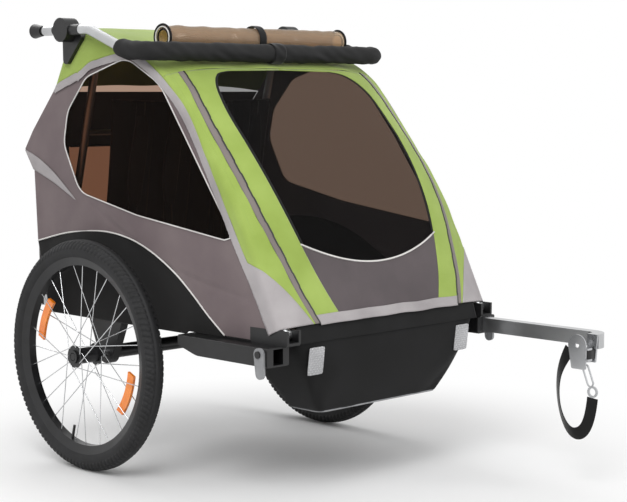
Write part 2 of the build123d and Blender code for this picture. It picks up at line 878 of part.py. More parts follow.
# ---------------------------------------------------------------- wheels
button_gap = button_travel + 0.5
wheel_x = wheel_track / 2
button_seat = hub_outer_end - button_length - button_gap


def wheel_plane(side):
    """Section plane through one wheel's axle, with (outward x, height) as its coordinates."""
    return Plane(origin=(side * wheel_x, axle_y, wheel_radius), x_dir=(side, 0, 0),
                 z_dir=(0, -side, 0))


def wheel_axis(side):
    """The axle line of one wheel."""
    return Axis((side * wheel_x, axle_y, wheel_radius), (1, 0, 0))


def tyre(side):
    """Hollow tyre, open towards the rim."""
    centre = wheel_radius - tyre_radius
    with BuildPart() as ring:
        with BuildSketch(wheel_plane(side)):
            with Locations((0, centre)):
                Circle(tyre_radius)
                Circle(tyre_radius - tyre_wall, mode=Mode.SUBTRACT)
            with Locations((0, rim_outer - tyre_radius)):
                Rectangle(4 * tyre_radius, 2 * tyre_radius, mode=Mode.SUBTRACT)
        revolve(axis=wheel_axis(side))
    return ring


def rim(side):
    """Channel rim with its valve stem."""
    with BuildPart() as ring:
        with BuildSketch(wheel_plane(side)):
            with BuildLine():
                Polyline((-rim_half_width, rim_outer), (rim_half_width, rim_outer),
                         (rim_floor_half_width, rim_inner), (-rim_floor_half_width, rim_inner),
                         (-rim_half_width, rim_outer))
            make_face()
            with BuildLine():
                top = rim_half_width - rim_wall
                low = rim_floor_half_width - rim_wall
                Polyline((-top, rim_outer), (top, rim_outer), (low, rim_inner + rim_wall),
                         (-low, rim_inner + rim_wall), (-top, rim_outer))
            make_face(mode=Mode.SUBTRACT)
        revolve(axis=wheel_axis(side))
        angle = radians(valve_angle)
        outward = (0, cos(angle), sin(angle))
        start = rim_inner - valve_length
        place = (side * wheel_x, axle_y + start * cos(angle), wheel_radius + start * sin(angle))
        with BuildSketch(Plane(origin=place, z_dir=outward)):
            Circle(valve_radius)
        extrude(amount=valve_length + rim_wall / 2)
    return ring


def hub(side):
    """Turned hub: two spoke flanges, a barrel and a recess for the release button."""
    with BuildPart() as barrel:
        with BuildSketch(wheel_plane(side)):
            with BuildLine():
                inner = flange_offset - flange_width / 2
                outer = flange_offset + flange_width / 2
                bore = axle_radius + running_gap
                Polyline((-hub_inner_end, bore), (-hub_inner_end, hub_end_radius),
                         (-outer, hub_end_radius), (-outer, flange_radius),
                         (-inner, flange_radius), (-inner, hub_body_radius),
                         (inner, hub_body_radius), (inner, flange_radius),
                         (outer, flange_radius), (outer, hub_end_radius),
                         (hub_outer_end, hub_end_radius), (hub_outer_end, button_recess_radius),
                         (button_seat, button_recess_radius), (button_seat, bore),
                         (-hub_inner_end, bore))
            make_face()
        revolve(axis=wheel_axis(side))
    return barrel


def spoke_ends(index):
    """Hub end and rim end of one spoke in the wheel's own (x, y, z), as two points."""
    flange = 1 if index % 2 else -1
    leads = 1 if (index // 2) % 2 else -1
    rim_angle = radians(index * 360 / spoke_count)
    hub_angle = rim_angle + leads * radians(70)
    hub_r = flange_radius - spoke_embed
    rim_r = rim_inner + rim_wall / 2
    hub_x = flange * (flange_offset + leads * (flange_width / 2 + spoke_radius / 2))
    rim_x = flange * (3 + leads)
    return ((hub_x, hub_r * cos(hub_angle), hub_r * sin(hub_angle)),
            (rim_x, rim_r * cos(rim_angle), rim_r * sin(rim_angle)))


def spokes(side):
    """All the spokes of one wheel, crossed between two flanges and the rim."""
    with BuildPart() as bundle:
        for index in range(spoke_count):
            start, end = [Vector(side * (wheel_x + x), axle_y + y, wheel_radius + z)
                          for x, y, z in spoke_ends(index)]
            with BuildSketch(Plane(origin=start, z_dir=end - start)):
                Circle(spoke_radius)
            extrude(amount=(end - start).length)
    return bundle


def reflectors(side):
    """Two curved reflectors between the spokes, on opposite sides of the hub."""
    with BuildPart() as pair:
        for turn in (reflector_angle, reflector_angle + 180):
            with BuildSketch(side_plane(side * wheel_x)):
                with Locations((0, wheel_radius)):
                    Circle(reflector_ring + reflector_height / 2)
                    Circle(reflector_ring - reflector_height / 2, mode=Mode.SUBTRACT)
                    with Locations(Rotation(0, 0, turn)):
                        with Locations((reflector_ring, 0)):
                            Rectangle(2 * reflector_height, reflector_length,
                                      mode=Mode.INTERSECT)
            extrude(amount=reflector_thickness / 2, both=True)
    return pair


def axle_button(side):
    """Round release button at the outer end of one axle."""
    with BuildPart() as button:
        with BuildSketch(side_plane(side * (wheel_x + hub_outer_end))):
            with Locations((0, wheel_radius)):
                Circle(button_radius)
        extrude(amount=-side * button_length)
        fillet(button.edges().filter_by(GeomType.CIRCLE), radius=1)
    return button


with BuildPart() as axle_pins:
    with BuildSketch(side_plane(bracket_inner_x + 2)):
        with Locations((0, wheel_radius)):
            Circle(axle_radius)
    extrude(amount=wheel_x + button_seat - bracket_inner_x - 2)
    with BuildSketch(side_plane(rail_outer_x)):
        with Locations((0, wheel_radius)):
            Circle(axle_radius + 4)
    extrude(amount=wheel_x - hub_inner_end - swing_gap - rail_outer_x)
    mirror(about=Plane.YZ)

# ---------------------------------------------------------------- tow bar and hitch
tow_corner_y = -front_reach + tow_width / 2

with BuildPart() as tow_bar:
    with BuildLine(level_plane(socket_z)) as tow_route:
        FilletPolyline((socket_x, tow_rear), (socket_x, tow_corner_y), (tow_end_x, tow_corner_y),
                       radius=tow_bend_radius)
    with BuildSketch(front_plane(tow_rear)):
        with Locations((socket_x, socket_z)):
            Rectangle(tow_width, tow_height)
            Rectangle(tow_width - 2 * tow_wall, tow_height - 2 * tow_wall, mode=Mode.SUBTRACT)
    sweep(path=tow_route.line)

pivot_y, pivot_z = hitch_pivot

with BuildPart() as hitch_bracket:
    with BuildSketch(side_plane(tow_end_x - bracket_plate_thickness)):
        with BuildLine():
            Polyline((tow_corner_y - tow_width / 2, socket_z + tow_height / 2),
                     (tow_corner_y + tow_width / 2, socket_z + tow_height / 2),
                     (tow_corner_y + tow_width / 2, socket_z - tow_height / 2),
                     (pivot_y + hitch_block / 2 + 2, pivot_z - hitch_block),
                     (pivot_y - hitch_block / 2, pivot_z - hitch_block),
                     (tow_corner_y - tow_width / 2, socket_z + tow_height / 2))
        make_face()
    extrude(amount=bracket_plate_thickness)

with BuildPart() as hitch_flex:
    with BuildSketch(Plane(origin=(0, axle_y, pivot_z), z_dir=(0, 0, 1))):
        block_end = tow_end_x - bracket_plate_thickness
        with Locations((hitch_pivot_x, pivot_y)):
            Circle(hitch_block / 2)
        with Locations(((hitch_pivot_x + block_end) / 2, pivot_y)):
            Rectangle(block_end - hitch_pivot_x, hitch_block)
        with Locations((hitch_pivot_x, pivot_y)):
            Circle(hitch_pin_radius + running_gap, mode=Mode.SUBTRACT)
    extrude(amount=hitch_block / 2, both=True)

ear_low = hitch_block / 2 + swing_gap

with BuildPart() as hitch_plate:
    with BuildSketch(side_plane(hitch_plate_x)):
        with Locations(hitch_hole):
            Circle(hitch_plate_round)
        with Locations((hitch_hole[0] + hitch_plate_foot[0], hitch_hole[1] + hitch_plate_foot[1])):
            RectangleRounded(*hitch_plate_foot_size)
        make_hull()
        with Locations(hitch_hole):
            Circle(hitch_hole_radius, mode=Mode.SUBTRACT)
    extrude(amount=hitch_plate_thickness / 2, both=True)
    for level in (ear_low, -ear_low - hitch_ear_thickness):
        with BuildSketch(level_plane(pivot_z + level)):
            with Locations((hitch_pivot_x, pivot_y)):
                Circle(hitch_block / 2)
            with Locations(((hitch_pivot_x + hitch_plate_x) / 2, pivot_y)):
                Rectangle(hitch_pivot_x - hitch_plate_x, hitch_block)
            with Locations((hitch_pivot_x, pivot_y)):
                Circle(hitch_pin_radius, mode=Mode.SUBTRACT)
        extrude(amount=hitch_ear_thickness)

with BuildPart() as hitch_pin:
    with BuildSketch(level_plane(pivot_z)):
        with Locations((hitch_pivot_x, pivot_y)):
            Circle(hitch_pin_radius)
    extrude(amount=ear_low + hitch_ear_thickness, both=True)
    with BuildSketch(level_plane(pivot_z - ear_low - hitch_ear_thickness - 3)):
        with Locations((hitch_pivot_x, pivot_y)):
            Circle(hitch_pin_radius + 2)
    extrude(amount=3)

strap_radii = []
for before, here, after in zip(strap_route, strap_route[1:], strap_route[2:]):
    first = Vector(here[0] - before[0], here[1] - before[1])
    second = Vector(after[0] - here[0], after[1] - here[1])
    half_turn = radians(first.get_angle(second) / 2)
    strap_radii.append(0.45 * min(first.length, second.length) * cos(half_turn) / sin(half_turn))

with BuildPart() as safety_strap:
    with BuildSketch(side_plane(strap_x)):
        with BuildLine():
            FilletPolyline(*strap_route, radius=strap_radii)
        trace(line_width=webbing_thickness)
    extrude(amount=webbing_width / 2, both=True)

with BuildPart() as strap_hardware:
    with BuildSketch(side_plane(strap_x)):
        with Locations(ring_centre):
            Circle(ring_radius)
            Circle(ring_radius - 2 * ring_wire, mode=Mode.SUBTRACT)
    extrude(amount=ring_wire, both=True)
    with BuildSketch(side_plane(strap_x)):
        with Locations(hook_centre):
            SlotOverall(hook_length, hook_width, rotation=hook_lean)
            SlotOverall(hook_length - 2 * ring_wire, hook_width - 2 * ring_wire, rotation=hook_lean,
                        mode=Mode.SUBTRACT)
    extrude(amount=ring_wire, both=True)

# ---------------------------------------------------------------- files
pieces = {
    "side_rails": side_rails, "cross_members": cross_members, "axle_tube": axle_tube,
    "axle_brackets": axle_brackets, "corner_castings": corner_castings,
    "hoop_pivots": hoop_pivots, "floor_panel": floor_panel, "nose_tub": nose_tub,
    "skid_strip": skid_strip, "side_windows": side_windows, "rear_panel": rear_panel,
    "rear_window": rear_window, "seat_base": seat_base, "seat_back": seat_back,
    "harness": harness, "top_cross_tube": top_cross_tube, "hub_plates": hub_plates,
    "roof_panel": roof_panel, "cover_border": cover_border, "mesh_screen": mesh_screen,
    "lower_cover": lower_cover, "rear_bail": rear_bail, "handlebar_tube": handlebar_tube,
    "foam_grip": foam_grip, "handlebar_hubs": handlebar_hubs, "grip_strap": grip_strap,
    "rain_cover_roll": rain_cover_roll, "roll_strap": roll_strap, "axle_pins": axle_pins,
    "tow_bar": tow_bar, "hitch_bracket": hitch_bracket, "hitch_flex": hitch_flex,
    "hitch_plate": hitch_plate, "hitch_pin": hitch_pin, "safety_strap": safety_strap,
    "strap_hardware": strap_hardware,
}
paired = {
    "receiver": receiver, "lever": lever, "side_panel": side_panel, "hoop": hoop,
    "front_band": front_band, "plunger": plunger, "tyre": tyre, "rim": rim, "hub": hub,
    "spokes": spokes, "reflectors": reflectors, "axle_button": axle_button,
}
for name, side in SIDES:
    for kind, make in paired.items():
        pieces[f"{name}_{kind}"] = make(side)

for label, piece in pieces.items():
    write(piece, label)
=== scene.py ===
"""Looks of a child bicycle trailer: sewn cabin fabric, tinted windows, insect screen, seat,
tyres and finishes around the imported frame.

Shapes are worked out in millimetres with y counted from the wheel axle, and to_frame turns
them into the frame's metres. Grids are arrays of (row, column, xyz).
"""
import json

import bmesh
import bpy
import numpy as np
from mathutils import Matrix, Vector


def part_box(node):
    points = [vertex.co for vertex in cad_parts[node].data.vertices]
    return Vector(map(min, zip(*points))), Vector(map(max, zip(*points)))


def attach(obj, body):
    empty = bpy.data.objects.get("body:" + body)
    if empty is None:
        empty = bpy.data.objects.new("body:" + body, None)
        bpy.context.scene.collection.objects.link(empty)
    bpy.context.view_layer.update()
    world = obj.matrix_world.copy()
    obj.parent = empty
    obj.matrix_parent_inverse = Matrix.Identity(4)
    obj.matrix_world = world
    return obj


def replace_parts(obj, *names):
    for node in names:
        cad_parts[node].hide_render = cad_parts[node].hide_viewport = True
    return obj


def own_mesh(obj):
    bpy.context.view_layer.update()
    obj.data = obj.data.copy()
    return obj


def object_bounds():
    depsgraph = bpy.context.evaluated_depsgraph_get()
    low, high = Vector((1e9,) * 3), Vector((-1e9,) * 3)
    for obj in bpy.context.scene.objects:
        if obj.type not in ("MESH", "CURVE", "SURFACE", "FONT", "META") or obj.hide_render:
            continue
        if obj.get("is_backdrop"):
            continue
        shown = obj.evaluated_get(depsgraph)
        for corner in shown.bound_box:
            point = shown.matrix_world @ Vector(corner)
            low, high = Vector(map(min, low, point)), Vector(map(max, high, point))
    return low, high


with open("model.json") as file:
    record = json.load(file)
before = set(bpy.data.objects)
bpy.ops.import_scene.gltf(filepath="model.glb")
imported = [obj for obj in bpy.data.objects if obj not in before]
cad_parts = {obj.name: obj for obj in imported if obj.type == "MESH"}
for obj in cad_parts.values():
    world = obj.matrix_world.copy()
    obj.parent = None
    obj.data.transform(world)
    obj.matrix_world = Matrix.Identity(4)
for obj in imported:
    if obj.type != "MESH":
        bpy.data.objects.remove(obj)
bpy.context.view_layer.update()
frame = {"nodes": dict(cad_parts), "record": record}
nodes = frame["nodes"]

tyre_low, tyre_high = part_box("left_tyre")
AXLE_Y = (tyre_low.y + tyre_high.y) / 2 * 1000
AXLE_Z = (tyre_low.z + tyre_high.z) / 2 * 1000
WHEEL_X = (tyre_low.x + tyre_high.x) / 2 * 1000

# Side-view lines of the cabin, (y, z)
HOOP = ((-545.0, 345.0), (-424.0, 592.0), (-200.0, 855.0), (80.0, 938.0))
HOOP_RADII = (800.0, 250.0)
REAR_FLAP = (172.0, 818.0)
HEM = ((182, 804), (71, 840), (20, 866), (-86, 883), (-127, 875), (-212, 822), (-294, 736),
       (-422, 522), (-479, 431), (-524, 350))
PANEL_REAR = ((172, 814), (252, 727), (284, 684), (250, 668), (239, 481), (200, 321),
              (-280, 321), (-280, 327), (-530, 327))
WINDOW = ((-430, 517), (-120, 556), (78, 596), (134, 700), (118, 772), (50, 846), (-90, 886),
          (-200, 830))
WINDOW_RADII = (18, 300, 60, 50, 60, 60, 80, 120)
ARCH = ((236, 480), (120, 505), (2, 515), (-90, 506), (-167, 482), (-240, 445), (-294, 407),
        (-345, 366), (-395, 330))
PLEAT = ((60, 585), (-60, 520), (-200, 462), (-330, 430), (-470, 408))
TRIM_TOP = ((282, 684), (235, 668), (180, 640), (130, 606), (95, 580))
TRIM_LOW = ((250, 640), (215, 628), (170, 612), (125, 592), (95, 578))
REAR_LINE = ((231, 333), (239, 481), (249, 672), (253, 722), (174, 814))

# Front-view lines of the cabin, (z, half width)
ZIP = ((358, 209), (410, 230), (475, 247), (560, 266), (650, 274), (738, 274), (800, 270),
       (850, 264), (960, 250))
OPENING = ((358, 145), (430, 178), (520, 205), (605, 222), (690, 231), (765, 231), (812, 219),
           (838, 190), (845, 150))
PIPING_ENDS = (202.0, 504.0)
PIPING_SAG = 46.0
COVER_LOW = 358.0
COVER_HIGH = 850.0
CORNER_X = 298.0
CORNER_RADIUS = 14.5
SKIN = 14.0
BULGE = 34.0
ARC = CORNER_RADIUS * np.pi / 2
SIDE_START = CORNER_X + ARC
ZIP_WIDTH = 13.0
HEM_WIDTH = 15.0
TAIL_REACH = 22.0
TAIL_RADIUS = 26.0
OPENING_TOP = 845.0
SIDE_X = 309.0
WINDOW_MIDDLE = np.array((-100.0, 700.0))
REAR_HALF = 307.0
REAR_WINDOW_HALF = 215.0
REAR_WINDOW_LOW = 500.0
REAR_WINDOW_HIGH = 690.0

# Nose tub: middle and height of its rim, its depth, how far its middle moves by its floor, its
# half sizes at the rim, what they lose by the floor, and how far its sides bow out
TUB_Y, TUB_TOP, TUB_DEPTH, TUB_SHIFT = -472.0, 332.0, 155.0, -14.5
TUB_HALF, TUB_TAPER = (272.0, 93.0), (93.0, 47.5)
TUB_BOW = 7.0

# Reflector patches: middle, half sizes, and the share of the tub's depth that they sit at
PATCH_X, PATCH_Z = 221.0, 288.0
PATCH_HALF = (21.0, 28.0)
PATCH_DEPTH = 0.26

# Seat pads as half width, half length and half height, the back's foot and top as (y, z), the
# harness belts with their x, the line they share as (y, z), and the rain-cover roll
SEAT_HALF = (244.0, 146.0, 26.0)
BACK_HALF = (240.0, 212.0, 15.0)
BACK_FOOT, BACK_TOP = np.array((112.0, 378.0)), np.array((52.0, 800.0))
BELTS = (("a", -175.0), ("b", -75.0), ("c", 75.0), ("d", 175.0))
BELT_LINE = ((42, 792), (50, 700), (64, 600), (70, 510), (72, 440), (40, 408), (-20, 400))
BELT_WIDTH = 25.0
ROLL_CENTRE, ROLL_RADIUS, ROLL_HALF = (-150.0, 928.0), 28.0, 262.0
ROLL_TURNS = 3.4

# Tyre: radius of its section, how far the section's middle lies under the crown, how far round
# the section reaches to each side in radians, and the pitch and height of the tread blocks
TYRE_SECTION, TYRE_MIDDLE, TYRE_WRAP = 21.6, 23.5, 2.28
TREAD_PITCH = 13.0
TREAD_HEIGHT = 1.9

SIDES = ((1, "left"), (-1, "right"))


# ------------------------ lines and grids
def to_frame(points):
    """Millimetres counted from the axle to the frame's metres."""
    moved = np.asarray(points, float) + (0.0, AXLE_Y, 0.0)
    return moved / 1000


def resampled(line, count, closed=False):
    """The line's points, spaced evenly by arc length: count points between its two ends."""
    line = np.asarray(line, float)
    if closed:
        line = np.vstack([line, line[:1]])
    length = lengths_along(line)
    out = on_line(np.linspace(0, length[-1], count + 1 if closed else count), length, line)
    return out[:-1] if closed else out


def rounded(points, radii, closed=False, steps=24):
    """A polyline with each corner replaced by a parabola that starts and ends where an arc of
    the corner's radius would: radius over the tangent of half the corner's angle away from it.
    On a closed line it keeps to half of each run."""
    points = np.asarray(points, float)
    count = len(points)
    inner = range(count) if closed else range(1, count - 1)
    out = [] if closed else [points[0]]
    t = np.linspace(0, 1, steps)[:, None]
    for radius, i in zip(radii, inner):
        here = points[i]
        before, after = points[i - 1] - here, points[(i + 1) % count] - here
        runs = np.linalg.norm(before), np.linalg.norm(after)
        before, after = before / runs[0], after / runs[1]
        half = np.arccos(np.clip(before @ after, -1, 1)) / 2
        reach = radius / np.tan(half)
        if closed:
            reach = min(reach, 0.49 * runs[0], 0.49 * runs[1])
        start, end = here + before * reach, here + after * reach
        out.extend((1 - t) ** 2 * start + 2 * t * (1 - t) * here + t ** 2 * end)
    if not closed:
        out.append(points[-1])
    return np.array(out)


def smooth(points, count):
    """A soft curve through the points: cubic Catmull-Rom spans, then spaced evenly."""
    p = np.asarray(points, float)
    p = np.vstack([2 * p[0] - p[1], p, 2 * p[-1] - p[-2]])
    t = np.linspace(0, 1, 16, endpoint=False)[:, None]
    a, b, c, d = p[:-3, None], p[1:-2, None], p[2:-1, None], p[3:, None]
    spans = 0.5 * (2 * b + (c - a) * t + (2 * a - 5 * b + 4 * c - d) * t ** 2
                   + (3 * b - a - 3 * c + d) * t ** 3)
    return resampled(np.vstack([spans.reshape(-1, p.shape[1]), p[-2:-1]]), count)


def grown(line, gap):
    """The line moved to its left by gap, along its own normals."""
    line = np.asarray(line, float)
    return line + gap * normals_of(line)


def normals_of(line):
    """Unit normals to the left of a (y, z) line."""
    step = np.gradient(line, axis=0)
    normal = np.stack([-step[:, 1], step[:, 0]], -1)
    return normal / np.linalg.norm(normal, axis=1, keepdims=True)


def lengths_along(line):
    """Arc length at each point of a line."""
    return np.concatenate([[0], np.cumsum(np.linalg.norm(np.diff(line, axis=0), axis=1))])


def on_line(at, length, line):
    """The line's points at the arc lengths at, read from its own arc lengths."""
    return np.stack([np.interp(at, length, column) for column in line.T], -1)


def wave_sum(u, v, scale, seed):
    """Smooth random height between about -1 and 1: a quarter of the sum of eight sine waves,
    each with its own direction, phase and pitch of about scale mm."""
    draw = np.random.default_rng(seed)
    angle = draw.uniform(0, np.pi * 2, 8)
    pitch = draw.uniform(0.6, 1.6, 8) / scale
    phase = draw.uniform(0, np.pi * 2, 8)
    total = sum(np.sin((u * np.cos(a) + v * np.sin(a)) * f * 2 * np.pi + p)
                for a, f, p in zip(angle, pitch, phase))
    return total / 4


# ------------------------ meshes
def grid_piece(name, grid, finish, body, loop_rows=False, loop_columns=False,
               thickness=0.0, offset=0.0, extra=None):
    """A mesh of quads over a grid of points; a looped direction joins its last line to its
    first, and a thickness in mm closes the sheet into a shell."""
    grid = np.asarray(grid, float)
    rows, columns = grid.shape[:2]
    row, column = np.meshgrid(np.arange(rows - (not loop_rows)),
                              np.arange(columns - (not loop_columns)), indexing="ij")
    down, across = (row + 1) % rows, (column + 1) % columns
    faces = np.stack([row * columns + column, row * columns + across,
                      down * columns + across, down * columns + column], -1).reshape(-1, 4)
    mesh = bpy.data.meshes.new(name)
    mesh.from_pydata(to_frame(grid).reshape(-1, 3).tolist(), [], faces.tolist())
    along = np.concatenate([np.zeros((1, columns)),
                            np.cumsum(np.linalg.norm(np.diff(grid, axis=0), axis=2), 0)])
    wide = np.concatenate([np.zeros((rows, 1)),
                           np.cumsum(np.linalg.norm(np.diff(grid, axis=1), axis=2), 1)], 1)
    uv = np.stack([along.ravel(), wide.ravel()], -1) / 1000
    layer = mesh.uv_layers.new(name="cloth")
    layer.data.foreach_set("uv", uv[faces.ravel()].astype(np.float32).ravel())
    for key, values in (extra or {}).items():
        attribute = mesh.attributes.new(key, "FLOAT", "POINT")
        attribute.data.foreach_set("value", np.asarray(values, np.float32).ravel())
    return finish_piece(name, mesh, finish, body, thickness, offset)


def finish_piece(name, mesh, finish, body, thickness=0.0, offset=0.0):
    """Clean a mesh, point its faces outwards, smooth it and let it ride on its body."""
    made = bmesh.new()
    made.from_mesh(mesh)
    bmesh.ops.remove_doubles(made, verts=made.verts, dist=1e-6)
    bmesh.ops.recalc_face_normals(made, faces=made.faces)
    made.to_mesh(mesh)
    made.free()
    mesh.polygons.foreach_set("use_smooth", [True] * len(mesh.polygons))
    piece = bpy.data.objects.new(name, mesh)
    bpy.context.scene.collection.objects.link(piece)
    if thickness:
        wall = piece.modifiers.new("wall", "SOLIDIFY")
        wall.thickness, wall.offset = thickness / 1000, offset
    mesh.materials.append(finish)
    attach(piece, body)
    return piece


def tube_piece(name, line, radius, finish, body, sides=10, closed=False):
    """A round cord of fabric or wire: a circle of radius mm carried along a line of points."""
    line = np.asarray(line, float)
    if closed:
        step = np.roll(line, -1, 0) - np.roll(line, 1, 0)
    else:
        step = np.gradient(line, axis=0)
    step /= np.linalg.norm(step, axis=1, keepdims=True)
    helper = np.where(np.abs(step[:, :1]) > 0.9, (0.0, 0.0, 1.0), (1.0, 0.0, 0.0))
    first = np.cross(step, helper)
    first /= np.linalg.norm(first, axis=1, keepdims=True)
    second = np.cross(step, first)
    turn = np.linspace(0, 2 * np.pi, sides, endpoint=False)
    ring = (np.cos(turn)[None, :, None] * first[:, None] +
            np.sin(turn)[None, :, None] * second[:, None])
    width = np.broadcast_to(np.asarray(radius, float), (len(line),)).copy()
    if not closed:
        width = np.concatenate([[0.01], width, [0.01]])
        line, ring = line[[0, *range(len(line)), -1]], ring[[0, *range(len(ring)), -1]]
    grid = line[:, None] + ring * width[:, None, None]
    return grid_piece(name, grid, finish, body, loop_rows=closed, loop_columns=True)


def crumple(*pieces):
    """Give each piece its own copy of its mesh data."""
    for piece in pieces:
        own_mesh(piece)


# ------------------------ finishes
def colour(code):
    """An sRGB hex colour as linear RGBA."""
    value = np.array([int(code[i:i + 2], 16) for i in (1, 3, 5)]) / 255
    linear = np.where(value <= 0.04045, value / 12.92, ((value + 0.055) / 1.055) ** 2.4)
    return (*linear.tolist(), 1.0)


def add(tree, kind, inputs=None, **settings):
    """Add one shader node, with its settings and with its inputs set or linked."""
    made = tree.nodes.new("ShaderNode" + kind)
    for key, value in settings.items():
        setattr(made, key, value)
    for key, value in (inputs or {}).items():
        if isinstance(value, bpy.types.NodeSocket):
            tree.links.new(value, made.inputs[key])
        else:
            made.inputs[key].default_value = value
    return made


def start(name):
    """A new material's tree with nothing in it but its output."""
    material = bpy.data.materials.new(name)
    material.use_nodes = True
    tree = material.node_tree
    tree.nodes.clear()
    return material, tree, add(tree, "OutputMaterial")


WAVE_PERIOD = 2 * np.pi / 20  # the wave texture's period at scale 1
PATCHES = 9.0  # soft colour patches to a metre of cloth


def weave_height(tree, thread):
    """Height of a plain weave on the cloth's own UV map: two crossed sine waves, one for the
    warp and one for the weft, each one thread in mm apart."""
    uv = add(tree, "UVMap", uv_map="cloth").outputs["UV"]
    pitch = WAVE_PERIOD / (thread / 1000)
    waves = [add(tree, "TexWave", {"Vector": uv, "Scale": pitch, "Distortion": 0.6,
                                   "Detail": 1.0, "Detail Scale": 2.0},
                 bands_direction=way, wave_profile="SIN").outputs["Fac"] for way in "XY"]
    return add(tree, "Math", {0: waves[0], 1: waves[1]}, operation="MULTIPLY").outputs[0]


def noise(tree, scale, detail, place=None):
    """Soft random spots, scale of them to a metre, on place or the piece's own coordinates."""
    place = place or add(tree, "TexCoord").outputs["Object"]
    node = add(tree, "TexNoise", {"Vector": place, "Scale": scale, "Detail": detail})
    return node.outputs["Fac"]


def spread(tree, value, low, high):
    """A value from 0 to 1 spread over low to high."""
    return add(tree, "MapRange", {"Value": value, "To Min": low, "To Max": high}).outputs["Result"]


def mottled(tree, dark, light, scale):
    """A colour that drifts between two tones in soft patches, scale patches to a metre."""
    ramp = add(tree, "ValToRGB", {"Fac": noise(tree, scale, 4.0)})
    for stop, place, tone in zip(ramp.color_ramp.elements, (0.35, 0.68), (dark, light)):
        stop.position, stop.color = place, colour(tone)
    return ramp.outputs["Color"]


def bumped(tree, height, distance, strength=0.6):
    """A surface normal raised by a height map, distance in mm."""
    return add(tree, "Bump", {"Height": height, "Distance": distance / 1000,
                              "Strength": strength}).outputs["Normal"]


def weave(material, tree, out, tone, thread, roughness, sheen, relief, hollow_shade):
    """Finish a woven cloth: painted shade dims its tone in the weave's hollows, which also press
    into the surface, and sheen stands for the loose fibres."""
    height = weave_height(tree, thread)
    # Painted shade: the ramp makes the tone darker where the weave is low, in its hollows.
    ramp = add(tree, "ValToRGB", {"Fac": height})
    ramp.color_ramp.elements[0].color = (hollow_shade, hollow_shade, hollow_shade, 1)
    ramp.color_ramp.elements[1].position = 0.55
    mixed = add(tree, "Mix", {"Factor": 1.0, 6: tone, 7: ramp.outputs["Color"]},
                data_type="RGBA", blend_type="MULTIPLY").outputs[2]
    shader = add(tree, "BsdfPrincipled", {
        "Base Color": mixed, "Roughness": roughness, "Sheen Weight": sheen,
        "Sheen Roughness": 0.4, "Specular IOR Level": 0.25,
        "Normal": bumped(tree, height, relief)})
    tree.links.new(shader.outputs[0], out.inputs["Surface"])
    return material


def cloth(name, dark, light, thread=2.2, roughness=0.82, sheen=0.25, relief=0.12, hollow_shade=0.8):
    """Woven polyester. Threads show as a faint grid with painted shade in its hollows, the colour
    drifts a little between the bolts, and the loose fibres give a soft sheen at the edges. Its
    real threads are 0.6 mm apart, and are drawn coarser so that they show."""
    material, tree, out = start(name)
    tone = mottled(tree, dark, light, PATCHES)
    return weave(material, tree, out, tone, thread, roughness, sheen, relief, hollow_shade)


def two_zone_cloth(name, key, upper, lower):
    """Two woven polyesters sewn edge to edge: the cloth above and below the seam differ by the
    piece's own attribute, which is the height above the seam in mm."""
    material, tree, out = start(name)
    side = add(tree, "Attribute", attribute_name=key).outputs["Fac"]
    above = add(tree, "Math", {0: side, 1: 0.0}, operation="GREATER_THAN").outputs[0]
    tone = add(tree, "Mix", {"Factor": above, 6: mottled(tree, *lower, PATCHES),
                             7: mottled(tree, *upper, PATCHES)}, data_type="RGBA").outputs[2]
    # Its last number sets the painted shade in the weave's hollows.
    return weave(material, tree, out, tone, 2.2, 0.84, 0.2, 0.12, 0.82)


def plastic(name, dark, light, roughness, grain, relief=0.05, coat=0.0):
    """Moulded plastic. A fine spark-eroded grain, grain mm across, breaks up its highlight, and
    handling has left it a little shinier in patches."""
    material, tree, out = start(name)
    gloss = spread(tree, noise(tree, 22.0, 3.0), roughness - 0.08, roughness + 0.1)
    shader = add(tree, "BsdfPrincipled", {
        "Base Color": mottled(tree, dark, light, 30.0), "Roughness": gloss, "Coat Weight": coat,
        "Normal": bumped(tree, noise(tree, 1000 / grain, 2.0), relief)})
    tree.links.new(shader.outputs[0], out.inputs["Surface"])
    return material


def metal(name, dark, light, roughness):
    """Bare or anodised metal. Fine draw lines run along the tube and spread its reflections,
    and the film on it is a shade uneven."""
    material, tree, out = start(name)
    place = add(tree, "TexCoord").outputs["Object"]
    drawn = add(tree, "Mapping", {"Vector": place, "Scale": (4.0, 400.0, 400.0)}).outputs["Vector"]
    lines = noise(tree, 4.0, 3.0, drawn)
    shader = add(tree, "BsdfPrincipled", {
        "Base Color": mottled(tree, dark, light, 14.0), "Metallic": 1.0,
        "Roughness": spread(tree, lines, roughness - 0.07, roughness + 0.09),
        "Normal": bumped(tree, lines, 0.01, 0.4)})
    tree.links.new(shader.outputs[0], out.inputs["Surface"])
    return material


def film(name, tint, haze, clear, roughness, gloss=0.08):
    """Clear or tinted vinyl film. What is behind it shows through its tint, a thin gloss lies
    on top with slow ripples and grows towards its edges, and a haze veils it a little."""
    material, tree, out = start(name)
    behind = add(tree, "BsdfTransparent", {"Color": colour(tint)})
    surface = add(tree, "BsdfPrincipled", {
        "Base Color": colour(haze), "Roughness": roughness, "Specular IOR Level": 0.6,
        "Normal": bumped(tree, noise(tree, 7.0, 1.0), 6.0, 0.5)})
    edge = add(tree, "LayerWeight", {"Blend": 0.12}).outputs["Fresnel"]
    share = spread(tree, edge, 1 - clear, min(1.0, 1 - clear + gloss + 0.35))
    mix = add(tree, "MixShader", {0: share, 1: behind.outputs[0], 2: surface.outputs[0]})
    tree.links.new(mix.outputs[0], out.inputs["Surface"])
    return material


